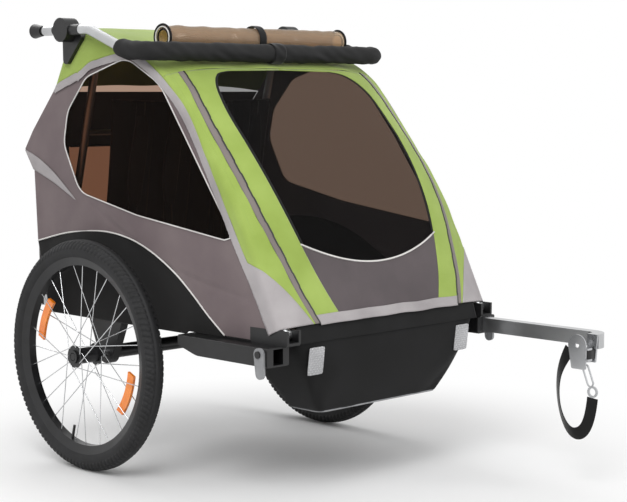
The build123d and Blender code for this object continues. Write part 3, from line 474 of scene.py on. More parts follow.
def net(name, tone, clear):
    """Knitted insect screen. Its holes are far too small to show one by one, so it is drawn as
    a part-clear dark veil with a faint thread grid 4 mm apart."""
    material, tree, out = start(name)
    share = spread(tree, weave_height(tree, 4.0), 1 - clear - 0.03, 1 - clear + 0.05)
    behind = add(tree, "BsdfTransparent", {"Color": (1, 1, 1, 1)})
    yarn = add(tree, "BsdfPrincipled", {"Base Color": colour(tone), "Roughness": 0.9,
                                        "Specular IOR Level": 0.12})
    mix = add(tree, "MixShader", {0: share, 1: behind.outputs[0], 2: yarn.outputs[0]})
    tree.links.new(mix.outputs[0], out.inputs["Surface"])
    return material


# Finishes, each with its name and its dark and light tones. A film has its tint and its haze.
# Each woven cloth below carries painted shade in its weave's hollows.
green_cloth = cloth("green_polyester", "#93A94F", "#A4BA60")
grey_cloth = cloth("grey_polyester", "#544D4F", "#5E5658")
side_cloth = two_zone_cloth("side_polyester", "above_arch", ("#6E6264", "#7B6F70"),
                            ("#0D0C0C", "#141313"))
black_cloth = cloth("black_polyester", "#0B0B0B", "#121213", sheen=0.08)
light_tape = cloth("reflective_tape", "#9C9798", "#B2ADAE", thread=1.8, roughness=0.55, sheen=0.1)
zip_tape = cloth("zip_tape", "#7B7370", "#8A827E", thread=1.6, roughness=0.75)
white_piping = cloth("white_piping", "#D8D5D2", "#E8E6E3", thread=0.8, roughness=0.6)
seat_cloth = cloth("seat_polyester", "#19191B", "#232326", thread=1.4, sheen=0.3)
webbing_cloth = cloth("woven_webbing", "#0E0E0F", "#171718", thread=1.8, roughness=0.7,
                      relief=0.3, hollow_shade=0.6)
screen_net = net("knitted_screen", "#060505", 0.26)
tinted_film = film("tinted_vinyl", "#A98C7A", "#3A2D26", 0.95, 0.1)
clear_film = film("clear_vinyl", "#EBDCC8", "#CDB9A2", 0.72, 0.07, gloss=0.25)
silver = metal("satin_anodised_aluminium", "#B4B5B6", "#C6C7C8", 0.36)
plated = metal("zinc_plated_steel", "#A9AAAC", "#C2C3C5", 0.28)
spoke_steel = metal("stainless_steel", "#C9CACC", "#DADBDC", 0.2)
black_metal = plastic("black_powder_coat", "#0D0D0E", "#161618", 0.38, 0.6, 0.03)
black_plastic = plastic("black_nylon", "#0B0B0C", "#131314", 0.42, 0.9)
grey_plastic = plastic("grey_nylon", "#7B7C7E", "#8D8E90", 0.45, 0.9)
foam = plastic("closed_cell_foam", "#070707", "#0E0E0F", 0.85, 1.6, 0.25)
rubber = plastic("tyre_rubber", "#0F0F10", "#18181A", 0.72, 1.2, 0.08)
amber = plastic("amber_acrylic", "#E8780F", "#F58A1C", 0.16, 3.0, 0.2, coat=0.6)
patch_tape = cloth("quilted_reflective_tape", "#B4B4B6", "#CBCBCD", thread=5.0, roughness=0.35,
                   sheen=0.0, relief=0.5, hollow_shade=0.65)
tooth_black = plastic("zip_teeth", "#1B1A1A", "#262525", 0.5, 1.0)


# ------------------------ the cabin's skin
hoop_line = rounded(HOOP, HOOP_RADII)
hoop_skin = grown(resampled(hoop_line, 400), SKIN)
top_run = hoop_skin[-1] - hoop_skin[-2]
tail_corner = hoop_skin[-1] + top_run / np.linalg.norm(top_run) * TAIL_REACH
tail = rounded((hoop_skin[-2], tail_corner, REAR_FLAP), (TAIL_RADIUS,))
skin_line = resampled(np.vstack([hoop_skin[:-1], tail[1:]]), 460)
skin_normal = normals_of(skin_line)
skin_length = lengths_along(skin_line)


def height_at(s):
    """Height of the skin's line at the stations s."""
    return np.interp(s, skin_length, skin_line[:, 1])


def station(z):
    """Arc length along the skin's line at a height z on its front slope."""
    top = np.argmax(skin_line[:, 1])
    return np.interp(z, skin_line[:top, 1], skin_length[:top])


def hem_edge():
    """Where the skin's side edge lies for each point of the skin's line: the nearest crossing of
    its inward normal with the hem's line, and past the hub evenly along the hem to its end."""
    hem = smooth(HEM[::-1], 200)
    a, b = hem[:-1], hem[1:]
    p, n = skin_line[:, None], -skin_normal[:, None]
    e = (b - a)[None]
    w = a[None] - p
    cross = n[..., 0] * e[..., 1] - n[..., 1] * e[..., 0]
    t = (w[..., 0] * e[..., 1] - w[..., 1] * e[..., 0]) / cross
    u = (w[..., 0] * n[..., 1] - w[..., 1] * n[..., 0]) / cross
    hit = np.where((u >= -0.01) & (u <= 1.01) & (t > 0), t, np.inf).min(1)
    good = np.isfinite(hit)
    edge = skin_line - skin_normal * np.interp(skin_length, skin_length[good], hit[good])[:, None]
    turn = np.argmax(edge[:, 0] > 10.0)
    edge[turn:, 0] = np.interp(skin_length[turn:], skin_length[[turn, -1]], (edge[turn, 0], 178.0))
    edge[turn:, 1] = np.interp(edge[turn:, 0], hem[:, 0], hem[:, 1])
    return edge


skin_inward = hem_edge() - skin_line
skin_depth = np.linalg.norm(skin_inward, axis=1)
skin_inward /= skin_depth[:, None]


def swell(z, x):
    """How far the stretched front stands proud of the hoops: full over most of the width,
    nothing at the hoops, and most at two thirds of its height."""
    share = 1 - np.clip(np.abs(x) / CORNER_X, 0, 1) ** 5
    rise = np.interp(z, (350, 420, 560, 700, 790, 850, 900, 960),
                     (0.3, 0.5, 0.75, 1.0, 0.85, 0.5, 0.16, 0.0))
    return BULGE * share * rise


def skin(s, q, side=1, lift=0.0):
    """Points of the skin. s is the arc length up the hoop. q is the girth from the middle: flat
    to CORNER_X, then a quarter circle round the hoop, then straight in along the side. Lift
    moves the points outwards."""
    s, q = np.broadcast_arrays(np.asarray(s, float), np.asarray(q, float))
    base, normal, inward = (on_line(s, skin_length, line)
                            for line in (skin_line, skin_normal, skin_inward))
    normal /= np.linalg.norm(normal, axis=-1, keepdims=True)
    turn = np.clip((np.abs(q) - CORNER_X) / CORNER_RADIUS, 0, np.pi / 2)
    radius = CORNER_RADIUS + lift
    flat = np.abs(q) < CORNER_X
    x = np.where(flat, np.abs(q), CORNER_X + radius * np.sin(turn))
    depth = np.where(flat, lift + swell(base[..., 1], q), radius * np.cos(turn) - CORNER_RADIUS)
    yz = (base + normal * depth[..., None]
          + inward * np.maximum(np.abs(q) - SIDE_START, 0)[..., None])
    sign = np.where(q < 0, -1.0, 1.0) * side
    return np.concatenate([(x * sign)[..., None], yz], -1)


def between(low, high, count):
    """A grid of numbers: count columns from one array of edges to another."""
    share = np.linspace(0, 1, count)[None]
    return low[:, None] * (1 - share) + high[:, None] * share


def front_width(curve, s):
    """Half width of a front-view line at the heights of the stations s."""
    line = smooth(curve, 200)
    return np.interp(height_at(s), line[:, 0], line[:, 1])


def side_girth(s, back=0.0):
    """Girth of the side edge at the stations s, less back mm."""
    return SIDE_START + np.interp(s, skin_length, skin_depth) - CORNER_RADIUS - back


s_low, s_high, s_end = station(COVER_LOW), station(COVER_HIGH), skin_length[-1]


def wedge_girth(s):
    """Inner edge of the light corner panel: it follows the hem, then below 492 mm it leaves it
    for the front face by a power of the depth."""
    share = np.clip((492 - height_at(s)) / 134, 0, 1)
    narrow = side_girth(s, HEM_WIDTH)
    return narrow + (226 - narrow) * share ** 0.85


band_s = np.linspace(s_low, s_high, 150)
hem_s = np.linspace(s_low, s_end, 320)
ragged = 0.7 * wave_sum(hem_s, hem_s * 0, 11.0, 5)
zip_width = front_width(ZIP, band_s)
teeth = 0.6 * np.sign(np.sin(band_s / 9.0))
for side, name in SIDES:
    inner = zip_width + ZIP_WIDTH
    outer = np.maximum(wedge_girth(band_s), inner + 2)
    crease = 0.72 * wave_sum(*np.meshgrid(np.linspace(0, 120, 36), band_s), 90.0, 11 + side)
    band = grid_piece(f"{name}_band_cloth",
                      skin(band_s[:, None], between(inner, outer, 36), side, crease),
                      green_cloth, "upper_frame", thickness=1.2)
    hem_girths = between(wedge_girth(hem_s), side_girth(hem_s, -2.0) + ragged, 22)
    grid_piece(f"{name}_hem_tape", skin(hem_s[:, None], hem_girths, side, 0.7), light_tape,
               "upper_frame", thickness=1.6)
    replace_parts(band, f"{name}_front_band")
    for part, low, high, wave, finish, lift in (
            ("zip_tape", 0.0, ZIP_WIDTH, 0.0, zip_tape, 0.4),
            ("zip_cord", -1.5, 1.5, teeth, tooth_black, 1.2)):
        edge = zip_width + wave
        grid_piece(f"{name}_{part}",
                   skin(band_s[:, None], between(edge + low, edge + high, 6), side, lift),
                   finish, "upper_frame", thickness=1.4)

s = np.linspace(s_high, s_end, 150)
edge = side_girth(s, HEM_WIDTH)
girth = between(-edge, edge, 150)
slack = 2.0 * wave_sum(girth, s[:, None] + 0 * girth, 160.0, 3)
roof = grid_piece("roof_cloth", skin(s[:, None], girth, 1, slack * (np.abs(girth) < CORNER_X)),
                  green_cloth, "upper_frame", thickness=1.2)
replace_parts(roof, "roof_panel")

# ------------------------ front cover
s = np.linspace(s_low, s_high - 1.0, 150)
z = height_at(s)
opening = np.where(z > OPENING_TOP, 0.0, front_width(OPENING, s))
binding_s = s[(z > PIPING_ENDS[1]) & (z <= OPENING_TOP)]
bound = front_width(OPENING, binding_s)
for side, name in SIDES:
    border = grid_piece(f"{name}_border_cloth",
                        skin(s[:, None], between(opening, front_width(ZIP, s), 24), side),
                        green_cloth, "front_cover", thickness=1.2)
    if side == 1:
        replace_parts(border, "cover_border")
    grid_piece(f"{name}_binding",
               skin(binding_s[:, None], between(bound - 7, bound + 2.5, 6), side, -0.8),
               black_cloth, "front_cover", thickness=1.2)


def piping_height(x):
    """Height of the sagging seam between the screen and the lower panel: a parabola."""
    return PIPING_ENDS[1] - PIPING_SAG * (1 - (x / PIPING_ENDS[0]) ** 2)


def opening_sheet(s, lift):
    """A sheet over the opening at a grid of stations: its columns share the width evenly and
    run 3 mm under the edge."""
    half = front_width(OPENING, s.ravel()).reshape(s.shape)
    return skin(s, columns[None] * (half + 3), 1, lift)


columns = np.linspace(-1, 1, 70)
rows = np.linspace(0, 1, 90)[:, None]
seam_x = columns * PIPING_ENDS[0]
seam_s = station(piping_height(seam_x))
screen_s = seam_s[None] * (1 - rows) + (s_high - 3.0) * rows
screen = grid_piece("screen_net", opening_sheet(screen_s, -1.6), screen_net, "front_cover")
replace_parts(screen, "mesh_screen")
lower = grid_piece("lower_cloth", opening_sheet(s_low * (1 - rows) + seam_s[None] * rows, -0.5),
                   grey_cloth, "front_cover", thickness=1.2)
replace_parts(lower, "lower_cover")
tube_piece("screen_piping", skin(seam_s, seam_x, 1, 1.2), 1.9, white_piping, "front_cover")
hem_rows = s_low + np.linspace(-4, 17, 8)
hem_girths = np.linspace(-1, 1, 120)[None] * (front_width(ZIP, hem_rows)[:, None] - 1)
hem_grid = skin(hem_rows[:, None], hem_girths, 1, 0.9)
hem_grid[..., 2] += wave_sum(hem_grid[..., 0], hem_grid[..., 2] * 0, 120.0, 9)
grid_piece("front_hem_tape", hem_grid, light_tape, "front_cover", thickness=1.4)

# ------------------------ side walls
side_outline = np.vstack([resampled(hoop_line, 200)[1:-1], PANEL_REAR])
side_outline = resampled(side_outline, 900, closed=True)
window_line = resampled(rounded(WINDOW, WINDOW_RADII, closed=True), 900, closed=True)


def by_angle(line, angles):
    """The line's points met by rays from the window's middle at the given angles."""
    offset = line - WINDOW_MIDDLE
    angle = np.unwrap(np.arctan2(offset[:, 1], offset[:, 0]))
    order = np.argsort(angle)
    angle, offset = angle[order], offset[order]
    angle = np.concatenate([angle - 2 * np.pi, angle, angle + 2 * np.pi])
    offset = np.vstack([offset] * 3)
    return WINDOW_MIDDLE + on_line(angles, angle, offset)


def upright(line, x):
    """A line or grid of (y, z) points stood in the plane at x."""
    return np.concatenate([np.broadcast_to(x, line.shape[:-1])[..., None], line], -1)


rays = np.linspace(-np.pi, np.pi, 520, endpoint=False)
share = np.linspace(0, 1, 70)[:, None]
wall_yz = (by_angle(side_outline, rays)[None] * (1 - share[..., None])
           + by_angle(window_line, rays)[None] * share[..., None])
y, z = wall_yz[..., 0], wall_yz[..., 1]
arch, pleat = smooth(ARCH, 120), smooth(PLEAT, 120)
above_arch = z - np.interp(-y, -arch[:, 0], arch[:, 1])
fade = np.clip(share * 6, 0, 1) * np.clip((1 - share) * 6, 0, 1)
above_pleat = z - np.interp(-y, -pleat[:, 0], pleat[:, 1])
fold = -3.0 * np.exp(-(above_pleat / 7.0) ** 2) * ((y < 60) & (y > -470))
pane_share = np.linspace(0, 1, 26)[:, None]
pane_yz = (WINDOW_MIDDLE * (1 - pane_share[..., None])
           + by_angle(window_line, rays[::4])[None] * pane_share[..., None])
ripple = 2.2 * wave_sum(pane_yz[..., 0], pane_yz[..., 1], 180.0, 31) * (1 - pane_share)
belly = 5.0 * (1 - pane_share ** 2)
t = np.linspace(0, 1, 8)[None, :, None]
trim_yz = smooth(TRIM_TOP, 60)[:, None] * (1 - t) + smooth(TRIM_LOW, 60)[:, None] * t
for side, name in SIDES:
    puff = (3.5 * wave_sum(y, z, 260.0, 21 + side) + fold) * fade
    wall = grid_piece(f"{name}_wall_cloth", upright(wall_yz, side * (SIDE_X + 0.2 + puff * 0.55)),
                      side_cloth, "chassis", loop_columns=True, thickness=1.2,
                      extra={"above_arch": above_arch})
    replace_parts(wall, f"{name}_side_panel")
    window = grid_piece(f"{name}_window_film",
                        upright(pane_yz, side * (SIDE_X - 0.4 + belly + ripple)), tinted_film,
                        "chassis", loop_columns=True)
    if side == 1:
        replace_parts(window, "side_windows")
    for part, line, radius, closed in (
            ("arch_piping", arch, 1.8, False),
            ("window_piping", by_angle(window_line, rays[::3]), 1.5, True)):
        crumple(tube_piece(f"{name}_{part}", upright(line, side * (SIDE_X + 2.0)), radius,
                           white_piping, "chassis", sides=8, closed=closed))
    trim = grid_piece(f"{name}_rear_trim", upright(trim_yz, side * (SIDE_X + 1.8)), light_tape,
                      "chassis", thickness=1.4)
    crumple(wall, window, trim)

# ------------------------ rear wall
rear = resampled(rounded(REAR_LINE, (300.0, 200.0, 20.0)), 120)
rear_length = lengths_along(rear)


def rear_sheet(x, along):
    """Points of the rear wall at a width x and an arc length along its side-view line."""
    y, z = (np.interp(along, rear_length, column) for column in rear.T)
    return np.stack([x, y + 2.5 * wave_sum(x, z, 260.0, 41), z], -1)


round_wall = np.linspace(0, 4, 480, endpoint=False)
corners_x = np.interp(round_wall, (0, 1, 2, 3, 4), (-1, 1, 1, -1, -1))
corners_s = np.interp(round_wall, (0, 1, 2, 3, 4), (0, 0, 1, 1, 0))
low_at, high_at = np.interp((REAR_WINDOW_LOW, REAR_WINDOW_HIGH), rear[:, 1], rear_length)
share = np.linspace(0, 1, 60)[:, None]
wall_x = corners_x * (REAR_HALF * (1 - share) + REAR_WINDOW_HALF * share)
wall_s = ((corners_s * rear_length[-1]) * (1 - share)
          + (low_at + corners_s * (high_at - low_at)) * share)
rear_wall = grid_piece("rear_wall_cloth", rear_sheet(wall_x, wall_s), grey_cloth, "chassis",
                       loop_columns=True, thickness=1.2)
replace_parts(rear_wall, "rear_panel")
pane_x, pane_z = np.meshgrid(np.linspace(-REAR_WINDOW_HALF, REAR_WINDOW_HALF, 60),
                             np.linspace(REAR_WINDOW_LOW, REAR_WINDOW_HIGH, 50))
rise = (pane_z - REAR_WINDOW_LOW) / (REAR_WINDOW_HIGH - REAR_WINDOW_LOW)
billow = (1 - (pane_x / REAR_WINDOW_HALF) ** 2) * np.sin(np.pi * rise)
pane_y = (np.interp(pane_z, rear[:, 1], rear[:, 0]) + 4.0 * billow
          + 1.5 * wave_sum(pane_x, pane_z, 150.0, 43) * billow)
pane = np.stack([pane_x, pane_y, pane_z], -1)
rear_film = grid_piece("rear_window_film", pane, tinted_film, "chassis")
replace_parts(rear_film, "rear_window")
rim = np.vstack([pane[0], pane[:, -1], pane[-1, ::-1], pane[::-1, 0]])
binding = tube_piece("rear_window_binding", resampled(rim + (0, 1.0, 0), 200, closed=True), 3.2,
                     black_cloth, "chassis", sides=8, closed=True)
crumple(rear_wall, rear_film, binding)

# ------------------------ floor and nose tub
floor_x, floor_y = np.meshgrid(np.linspace(-280, 280, 60), np.linspace(-374, 157, 60))
floor_z = 334.0 + 1.2 * wave_sum(floor_x, floor_y, 200.0, 51)
floor_cloth = grid_piece("floor_cloth", np.stack([floor_x, floor_y, floor_z], -1), black_cloth,
                         "chassis", thickness=1.6)
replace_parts(floor_cloth, "floor_panel")


def squared(turn, power):
    """Cosine and sine of the turn, each raised to a power below 1, which squares the circle."""
    wave = np.stack([np.cos(turn), np.sin(turn)])
    return np.sign(wave) * np.abs(wave) ** power


def tub_wall():
    """The nose tub as rings from its rim to its floor and in to the floor's middle. Each ring is
    a rectangle with rounded corners: its half sizes shrink with depth, and its long sides bow
    out by a sine of the depth."""
    turn = np.linspace(0, 2 * np.pi, 240, endpoint=False)[None]
    corner, other = squared(turn, 0.16)
    depth = np.concatenate([np.linspace(0, 1, 40), np.ones(14)])[:, None]
    shrink = np.concatenate([np.ones(40), np.linspace(0.94, 0.02, 14)])[:, None]
    bow = TUB_BOW * np.sin(np.pi * depth) * (shrink == 1)
    half_x, half_y = ((half - taper * depth + bow) * shrink
                      for half, taper in zip(TUB_HALF, TUB_TAPER))
    crease = 1.6 * wave_sum(half_x * corner, TUB_DEPTH * depth + 90 * turn, 120.0, 61)
    crease = crease * (shrink == 1)
    return np.stack([(half_x + crease) * corner,
                     TUB_Y + TUB_SHIFT * depth + (half_y + crease) * other,
                     TUB_TOP - TUB_DEPTH * depth + 0 * turn], -1)


apron_x = np.linspace(-268, 268, 140)
drop = np.linspace(0, 1, 16)[:, None, None]
apron = (skin(s_low + 6, apron_x, 1, -2.5)[None] * (1 - drop)
         + np.stack([apron_x, np.full(140, -567.0), np.full(140, 326.0)], -1)[None] * drop)
apron[..., 1] += (1.5 * wave_sum(apron[..., 0], apron[..., 2], 110.0, 55)
                  * np.sin(np.pi * drop[..., 0]))
grid_piece("nose_apron_cloth", apron, black_cloth, "chassis", thickness=1.6)
tub_cloth = grid_piece("nose_tub_cloth", tub_wall(), black_cloth, "chassis",
                       loop_columns=True, thickness=1.8)
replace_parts(tub_cloth, "nose_tub")
patch_x, patch_z = np.meshgrid(np.linspace(-1, 1, 24), np.linspace(-1, 1, 30))
round_x = patch_x * np.sqrt(1 - 0.12 * patch_z ** 8) * PATCH_HALF[0]
round_z = patch_z * np.sqrt(1 - 0.12 * patch_x ** 8) * PATCH_HALF[1]
quilt = np.maximum(np.sin((round_x + round_z) * 0.62), np.sin((round_x - round_z) * 0.62))
tub_front = TUB_Y + TUB_SHIFT * PATCH_DEPTH - (TUB_HALF[1] - TUB_TAPER[1] * PATCH_DEPTH) - 6.5
patch_y = tub_front - quilt - round_z * 0.12
for side, name in SIDES:
    grid_piece(f"{name}_reflector_patch",
               np.stack([side * PATCH_X + round_x, patch_y, PATCH_Z + round_z], -1), patch_tape,
               "chassis", thickness=1.6)


def pad(half_width, half_length, half_height, channels, columns=96, rows=64):
    """A padded form as a closed grid: its height falls off as a superellipse towards the rim,
    its sides pull in between the corners, and each sewn channel presses a groove down it."""
    side = np.linspace(-1, 1, columns)
    across = np.concatenate([side, side[-2:0:-1]])[None]
    face = np.concatenate([np.ones(columns), -np.ones(columns - 2)])[None]
    along = np.linspace(-1, 1, rows)[:, None]
    crown = ((1 - np.abs(across) ** 3.2) * (1 - np.abs(along) ** 3.2)) ** 0.5
    x = across * half_width * (1 - 0.03 * (1 - along ** 2))
    y = along * half_length * (1 - 0.03 * (1 - across ** 2))
    groove = sum(np.exp(-((x - channel) / 6.0) ** 2) for channel in channels)
    wrinkle = 0.05 * wave_sum(x, y, 90.0, 71)
    height = face * half_height * crown * (1 - 0.45 * groove + wrinkle)
    return np.broadcast_arrays(x, y, height)


x, y, height = pad(*SEAT_HALF, (-122, 0, 122))
crown = 6 * (height > 0) * (1 - (x / SEAT_HALF[0]) ** 2)
seat = grid_piece("seat_base_pad", np.stack([x, y - 25, 361 + height + crown], -1), seat_cloth,
                  "chassis", loop_columns=True)
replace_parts(seat, "seat_base")
x, y, height = pad(*BACK_HALF, (-180, -120, -70, 0, 70, 120, 180))
lean = (BACK_TOP - BACK_FOOT) / np.linalg.norm(BACK_TOP - BACK_FOOT)
middle = (BACK_TOP + BACK_FOOT) / 2
back_grid = np.stack([x, middle[0] + y * lean[0] - height * lean[1],
                      middle[1] + y * lean[1] + height * lean[0]], -1)
back = grid_piece("seat_back_pad", back_grid, seat_cloth, "chassis", loop_columns=True)
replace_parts(back, "seat_back")
crumple(back)

width_share = np.linspace(-0.5, 0.5, 5)[None, :, None]
turn = np.linspace(0, 2 * np.pi, 28, endpoint=False)[None]
for letter, place in BELTS:
    y, z = smooth(BELT_LINE, 90).T
    line = np.column_stack([place + 4.0 * np.sin(z / 60.0 + place), y - 6, z])
    belt = grid_piece(f"harness_belt_{letter}",
                      line[:, None] + width_share * BELT_WIDTH * (1.0, 0.0, 0.0), webbing_cloth,
                      "chassis", thickness=1.2)
    x, y, z = (column[:, None] for column in (line[6:46] + (0, -7.0, 0)).T)
    taper = np.sin(np.linspace(0.06, np.pi - 0.06, len(x)))[:, None] ** 0.25
    wide, deep = 22.0 * squared(turn, 0.6)[0] * taper, 6.5 * squared(turn, 0.8)[1] * taper
    cushion = grid_piece(f"harness_pad_{letter}", np.stack([x + wide, y + deep, z + 0 * wide], -1),
                         seat_cloth, "chassis", loop_columns=True)
    crumple(belt, cushion)
    if letter == "a":
        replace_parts(belt, "harness")

# ------------------------ rain-cover roll and grip
def roll_ring(x, radius, turn):
    """Points at a radius and a turn round the roll's axis."""
    x, radius, turn = np.broadcast_arrays(x, radius, turn)
    return np.stack([x, ROLL_CENTRE[0] + radius * np.cos(turn),
                     ROLL_CENTRE[1] + radius * np.sin(turn)], -1)


turn = np.linspace(0, ROLL_TURNS * 2 * np.pi, 300)[None]
along = np.linspace(-ROLL_HALF, ROLL_HALF, 150)[:, None]
spiral = (15.5 + (ROLL_RADIUS - 17.0) * turn / turn.max()
          + 0.8 * wave_sum(along, 14 * turn, 60.0, 81))
roll = grid_piece("rain_cover_film", roll_ring(along, spiral, turn + 2.2), clear_film,
                  "upper_frame")
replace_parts(roll, "rain_cover_roll")
turn = np.linspace(0, 2 * np.pi, 60, endpoint=False)
for side, name in SIDES:
    for part, radius, thick, place, finish in (
            ("edge", 26.5, 2.6, ROLL_HALF - 1, black_cloth),
            ("core", 17.0, 2.0, ROLL_HALF - 2, black_cloth),
            ("hem", 22.0, 1.6, ROLL_HALF, white_piping)):
        tube_piece(f"{name}_roll_{part}", roll_ring(side * place, radius, turn), thick, finish,
                   "upper_frame", sides=8, closed=True)


def soft_copy(node, name, finish, body, voxel, swell, scale, seed):
    """A soft piece grown from a solid: a voxel copy, its points moved along their normals by
    swell mm of smooth random height."""
    mesh = nodes[node].data.copy()
    made = bmesh.new()
    made.from_mesh(mesh)
    bmesh.ops.remove_doubles(made, verts=made.verts, dist=1e-5)
    made.to_mesh(mesh)
    made.free()
    holder = bpy.data.objects.new(name + "_form", mesh)
    bpy.context.scene.collection.objects.link(holder)
    remesh = holder.modifiers.new("voxels", "REMESH")
    remesh.mode, remesh.voxel_size = "VOXEL", voxel / 1000
    soften = holder.modifiers.new("soften", "SMOOTH")
    soften.factor, soften.iterations = 0.5, 6
    done = holder.evaluated_get(bpy.context.evaluated_depsgraph_get())
    shaped = bpy.data.meshes.new_from_object(done)
    bpy.data.objects.remove(holder)
    points = np.empty(len(shaped.vertices) * 3, np.float32)
    normals = np.empty(len(shaped.vertices) * 3, np.float32)
    shaped.vertices.foreach_get("co", points)
    shaped.vertices.foreach_get("normal", normals)
    points, normals = points.reshape(-1, 3) * 1000, normals.reshape(-1, 3)
    lift = swell * wave_sum(points[:, 0] + points[:, 2], points[:, 1] - points[:, 2], scale, seed)
    points += normals * lift[:, None]
    shaped.vertices.foreach_set("co", (points / 1000).astype(np.float32).ravel())
    shaped.materials.clear()
    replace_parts(finish_piece(name, shaped, finish, body), node)


soft_copy("foam_grip", "foam_sleeve", foam, "handlebar", 4.0, 1.1, 38.0, 91)
soft_copy("grip_strap", "grip_webbing", webbing_cloth, "handlebar", 1.6, 0.5, 30.0, 92)
soft_copy("roll_strap", "roll_elastic", webbing_cloth, "upper_frame", 1.6, 0.5, 30.0,
          93)

# ------------------------ tyres
def tread(round_share, section):
    """Height of the tread in mm: zig-zag blocks on both shoulders and a fine rib in the
    middle. The section runs from -1 to 1 across the tyre, 0 at its crown."""
    count = round(2 * np.pi * AXLE_Z / TREAD_PITCH)
    phase = round_share * count
    zigzag = np.abs((phase % 1) * 2 - 1)
    out = np.abs(section)
    shoulder = np.clip((out - 0.16) / 0.05, 0, 1) * np.clip((0.62 - out) / 0.05, 0, 1)
    block = np.clip((np.sin(phase * 2 * np.pi + out * 9.0) + 0.45) * 3, 0, 1)
    groove = np.clip(np.abs(out - 0.3 - 0.12 * zigzag) / 0.03, 0, 1)
    crown = np.clip((0.13 - out) / 0.04, 0, 1)
    return TREAD_HEIGHT * (shoulder * np.minimum(block, groove) + crown)


around = np.linspace(0, 1, 960, endpoint=False)[:, None]
angle = np.linspace(-TYRE_WRAP, TYRE_WRAP, 64)[None]
radius = TYRE_SECTION + tread(around, angle / TYRE_WRAP)
ring_r = (AXLE_Z - TYRE_MIDDLE) + radius * np.cos(angle)
turn = around * 2 * np.pi
for side, name in SIDES:
    grid = np.stack([side * WHEEL_X + radius * np.sin(angle), ring_r * np.cos(turn),
                     AXLE_Z + ring_r * np.sin(turn)], -1)
    tyre = grid_piece(f"{name}_tyre_rubber", grid, rubber, f"{name}_wheel",
                      loop_rows=True, thickness=2.4, offset=-1.0)
    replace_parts(tyre, f"{name}_tyre")

# ------------------------ carried-over pieces
finish_of = {
    "silver_tube": silver, "black_plastic": black_plastic, "steel": plated,
    "black_metal": black_metal, "green_fabric": green_cloth, "grey_fabric": grey_cloth,
    "black_fabric": black_cloth, "brown_window": tinted_film, "mesh": screen_net,
    "webbing": webbing_cloth, "foam": foam, "clear_roll": clear_film, "tyre": rubber,
    "spoke": spoke_steel, "amber": amber, "grey_plastic": grey_plastic, "seat": seat_cloth,
}
for entry in frame["record"]["subparts"]:
    mesh = nodes[entry["node"]].data
    mesh.materials.clear()
    mesh.materials.append(finish_of[entry["material_slot"]])

# ------------------------ safety strap
STRAP = ((0.256, -0.5275, 0.288), (0.256, -0.5055, 0.255), (0.256, -0.4965, 0.205),
         (0.256, -0.5055, 0.150), (0.256, -0.5315, 0.112), (0.256, -0.5625, 0.116),
         (0.256, -0.5815, 0.154), (0.256, -0.5855, 0.193))
STRAP_TWIST = (0.0, 0.5, 0.75, 0.75, 0.45, 0.0, 0.0, 0.0)
curve = bpy.data.curves.new("safety_strap_webbing", "CURVE")
curve.dimensions = "3D"
spline = curve.splines.new("NURBS")
spline.points.add(len(STRAP) - 1)
for point, place, twist in zip(spline.points, STRAP, STRAP_TWIST):
    point.co, point.tilt = (*place, 1.0), twist
spline.order_u = 3
spline.use_endpoint_u = True
spline.resolution_u = 12
curve.extrude = 0.0125
curve.bevel_depth = 0.0008
strap = bpy.data.objects.new("safety_strap_webbing", curve)
bpy.context.scene.collection.objects.link(strap)
curve.materials.append(webbing_cloth)
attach(strap, "hitch")
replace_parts(strap, "safety_strap")

# ------------------------ stage, lights and camera
def seen_rays(tree):
    """1 for the rays that show a white background, from the camera, a gloss or a clear piece,
    and 0 for those that light the object."""
    path = add(tree, "LightPath").outputs
    seen = add(tree, "Math", {0: path["Is Camera Ray"], 1: path["Is Glossy Ray"]},
               operation="MAXIMUM").outputs[0]
    return add(tree, "Math", {0: seen, 1: path["Is Transmission Ray"]},
               operation="MAXIMUM").outputs[0]


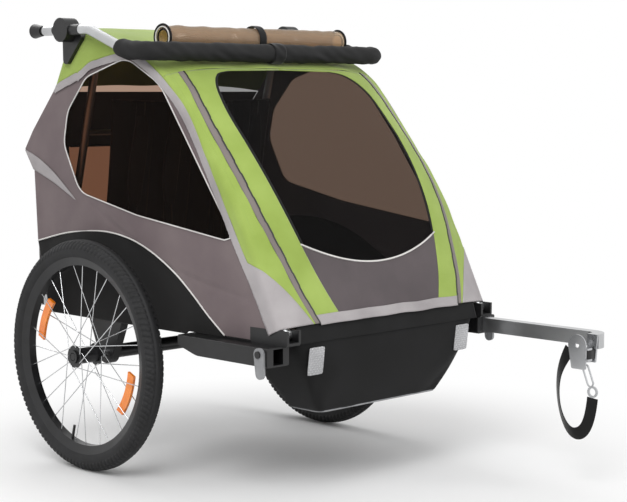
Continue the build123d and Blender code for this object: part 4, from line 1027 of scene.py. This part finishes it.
# The floor takes the object's shadow near it, and turns into the white background further out
floor = bpy.data.meshes.new("floor")
floor.from_pydata([(-9, -9, 0), (9, -9, 0), (9, 9, 0), (-9, 9, 0)], [], [(0, 1, 2, 3)])
floor_piece = bpy.data.objects.new("floor", floor)
bpy.context.scene.collection.objects.link(floor_piece)
floor_piece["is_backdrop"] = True
floor_finish, tree, out = start("pale_floor")
shader = add(tree, "BsdfPrincipled", {"Base Color": (0.9, 0.9, 0.9, 1), "Roughness": 0.9,
                                      "Specular IOR Level": 0.1})
spot = add(tree, "TexCoord").outputs["Object"]
reach = add(tree, "VectorMath", {0: spot}, operation="LENGTH").outputs["Value"]
far = add(tree, "MapRange", {"Value": reach, "From Min": 0.55, "From Max": 1.15},
          interpolation_type="SMOOTHSTEP").outputs["Result"]
share = add(tree, "Math", {0: far, 1: seen_rays(tree)}, operation="MULTIPLY").outputs[0]
white = add(tree, "Emission", {"Color": (1, 1, 1, 1), "Strength": 1.0})
mix = add(tree, "MixShader", {0: share, 1: shader.outputs[0], 2: white.outputs[0]})
tree.links.new(mix.outputs[0], out.inputs["Surface"])
floor.materials.append(floor_finish)

world = bpy.data.worlds.new("studio")
bpy.context.scene.world = world
world.use_nodes = True
tree = world.node_tree
tree.nodes.clear()
out = add(tree, "OutputWorld")
sky = add(tree, "Background", {"Color": (1, 1, 1, 1),
                               "Strength": spread(tree, seen_rays(tree), 0.55, 1.0)})
tree.links.new(sky.outputs[0], out.inputs["Surface"])


def area_lamp(name, place, target, size, power):
    """A square soft box that faces a target, power in watts."""
    lamp = bpy.data.lights.new(name, "AREA")
    lamp.size, lamp.energy = size, power
    holder = bpy.data.objects.new(name, lamp)
    bpy.context.scene.collection.objects.link(holder)
    holder.location = place
    aim = np.array(target) - np.array(place)
    holder.rotation_euler = (np.arctan2(np.hypot(aim[0], aim[1]), -aim[2]), 0,
                             np.arctan2(aim[1], aim[0]) - np.pi / 2)


area_lamp("key_box", (-2.6, -1.6, 3.0), (0, 0, 0.5), 2.2, 88)
area_lamp("fill_box", (1.4, -3.2, 2.2), (0, 0, 0.5), 2.0, 45)
area_lamp("rear_box", (0.6, 3.0, 2.8), (0, 0, 0.6), 2.2, 45)

camera = bpy.data.cameras.new("view")
camera.lens, camera.sensor_width = 92.49, 36.0
holder = bpy.data.objects.new("view", camera)
bpy.context.scene.collection.objects.link(holder)
holder.location = (-2.4322, -2.4781, 0.8164)
holder.rotation_euler = (np.pi / 2 - 0.09911, 0, -0.78349)
bpy.context.scene.camera = holder
bpy.context.scene.view_settings.view_transform = "Standard"

low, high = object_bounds()
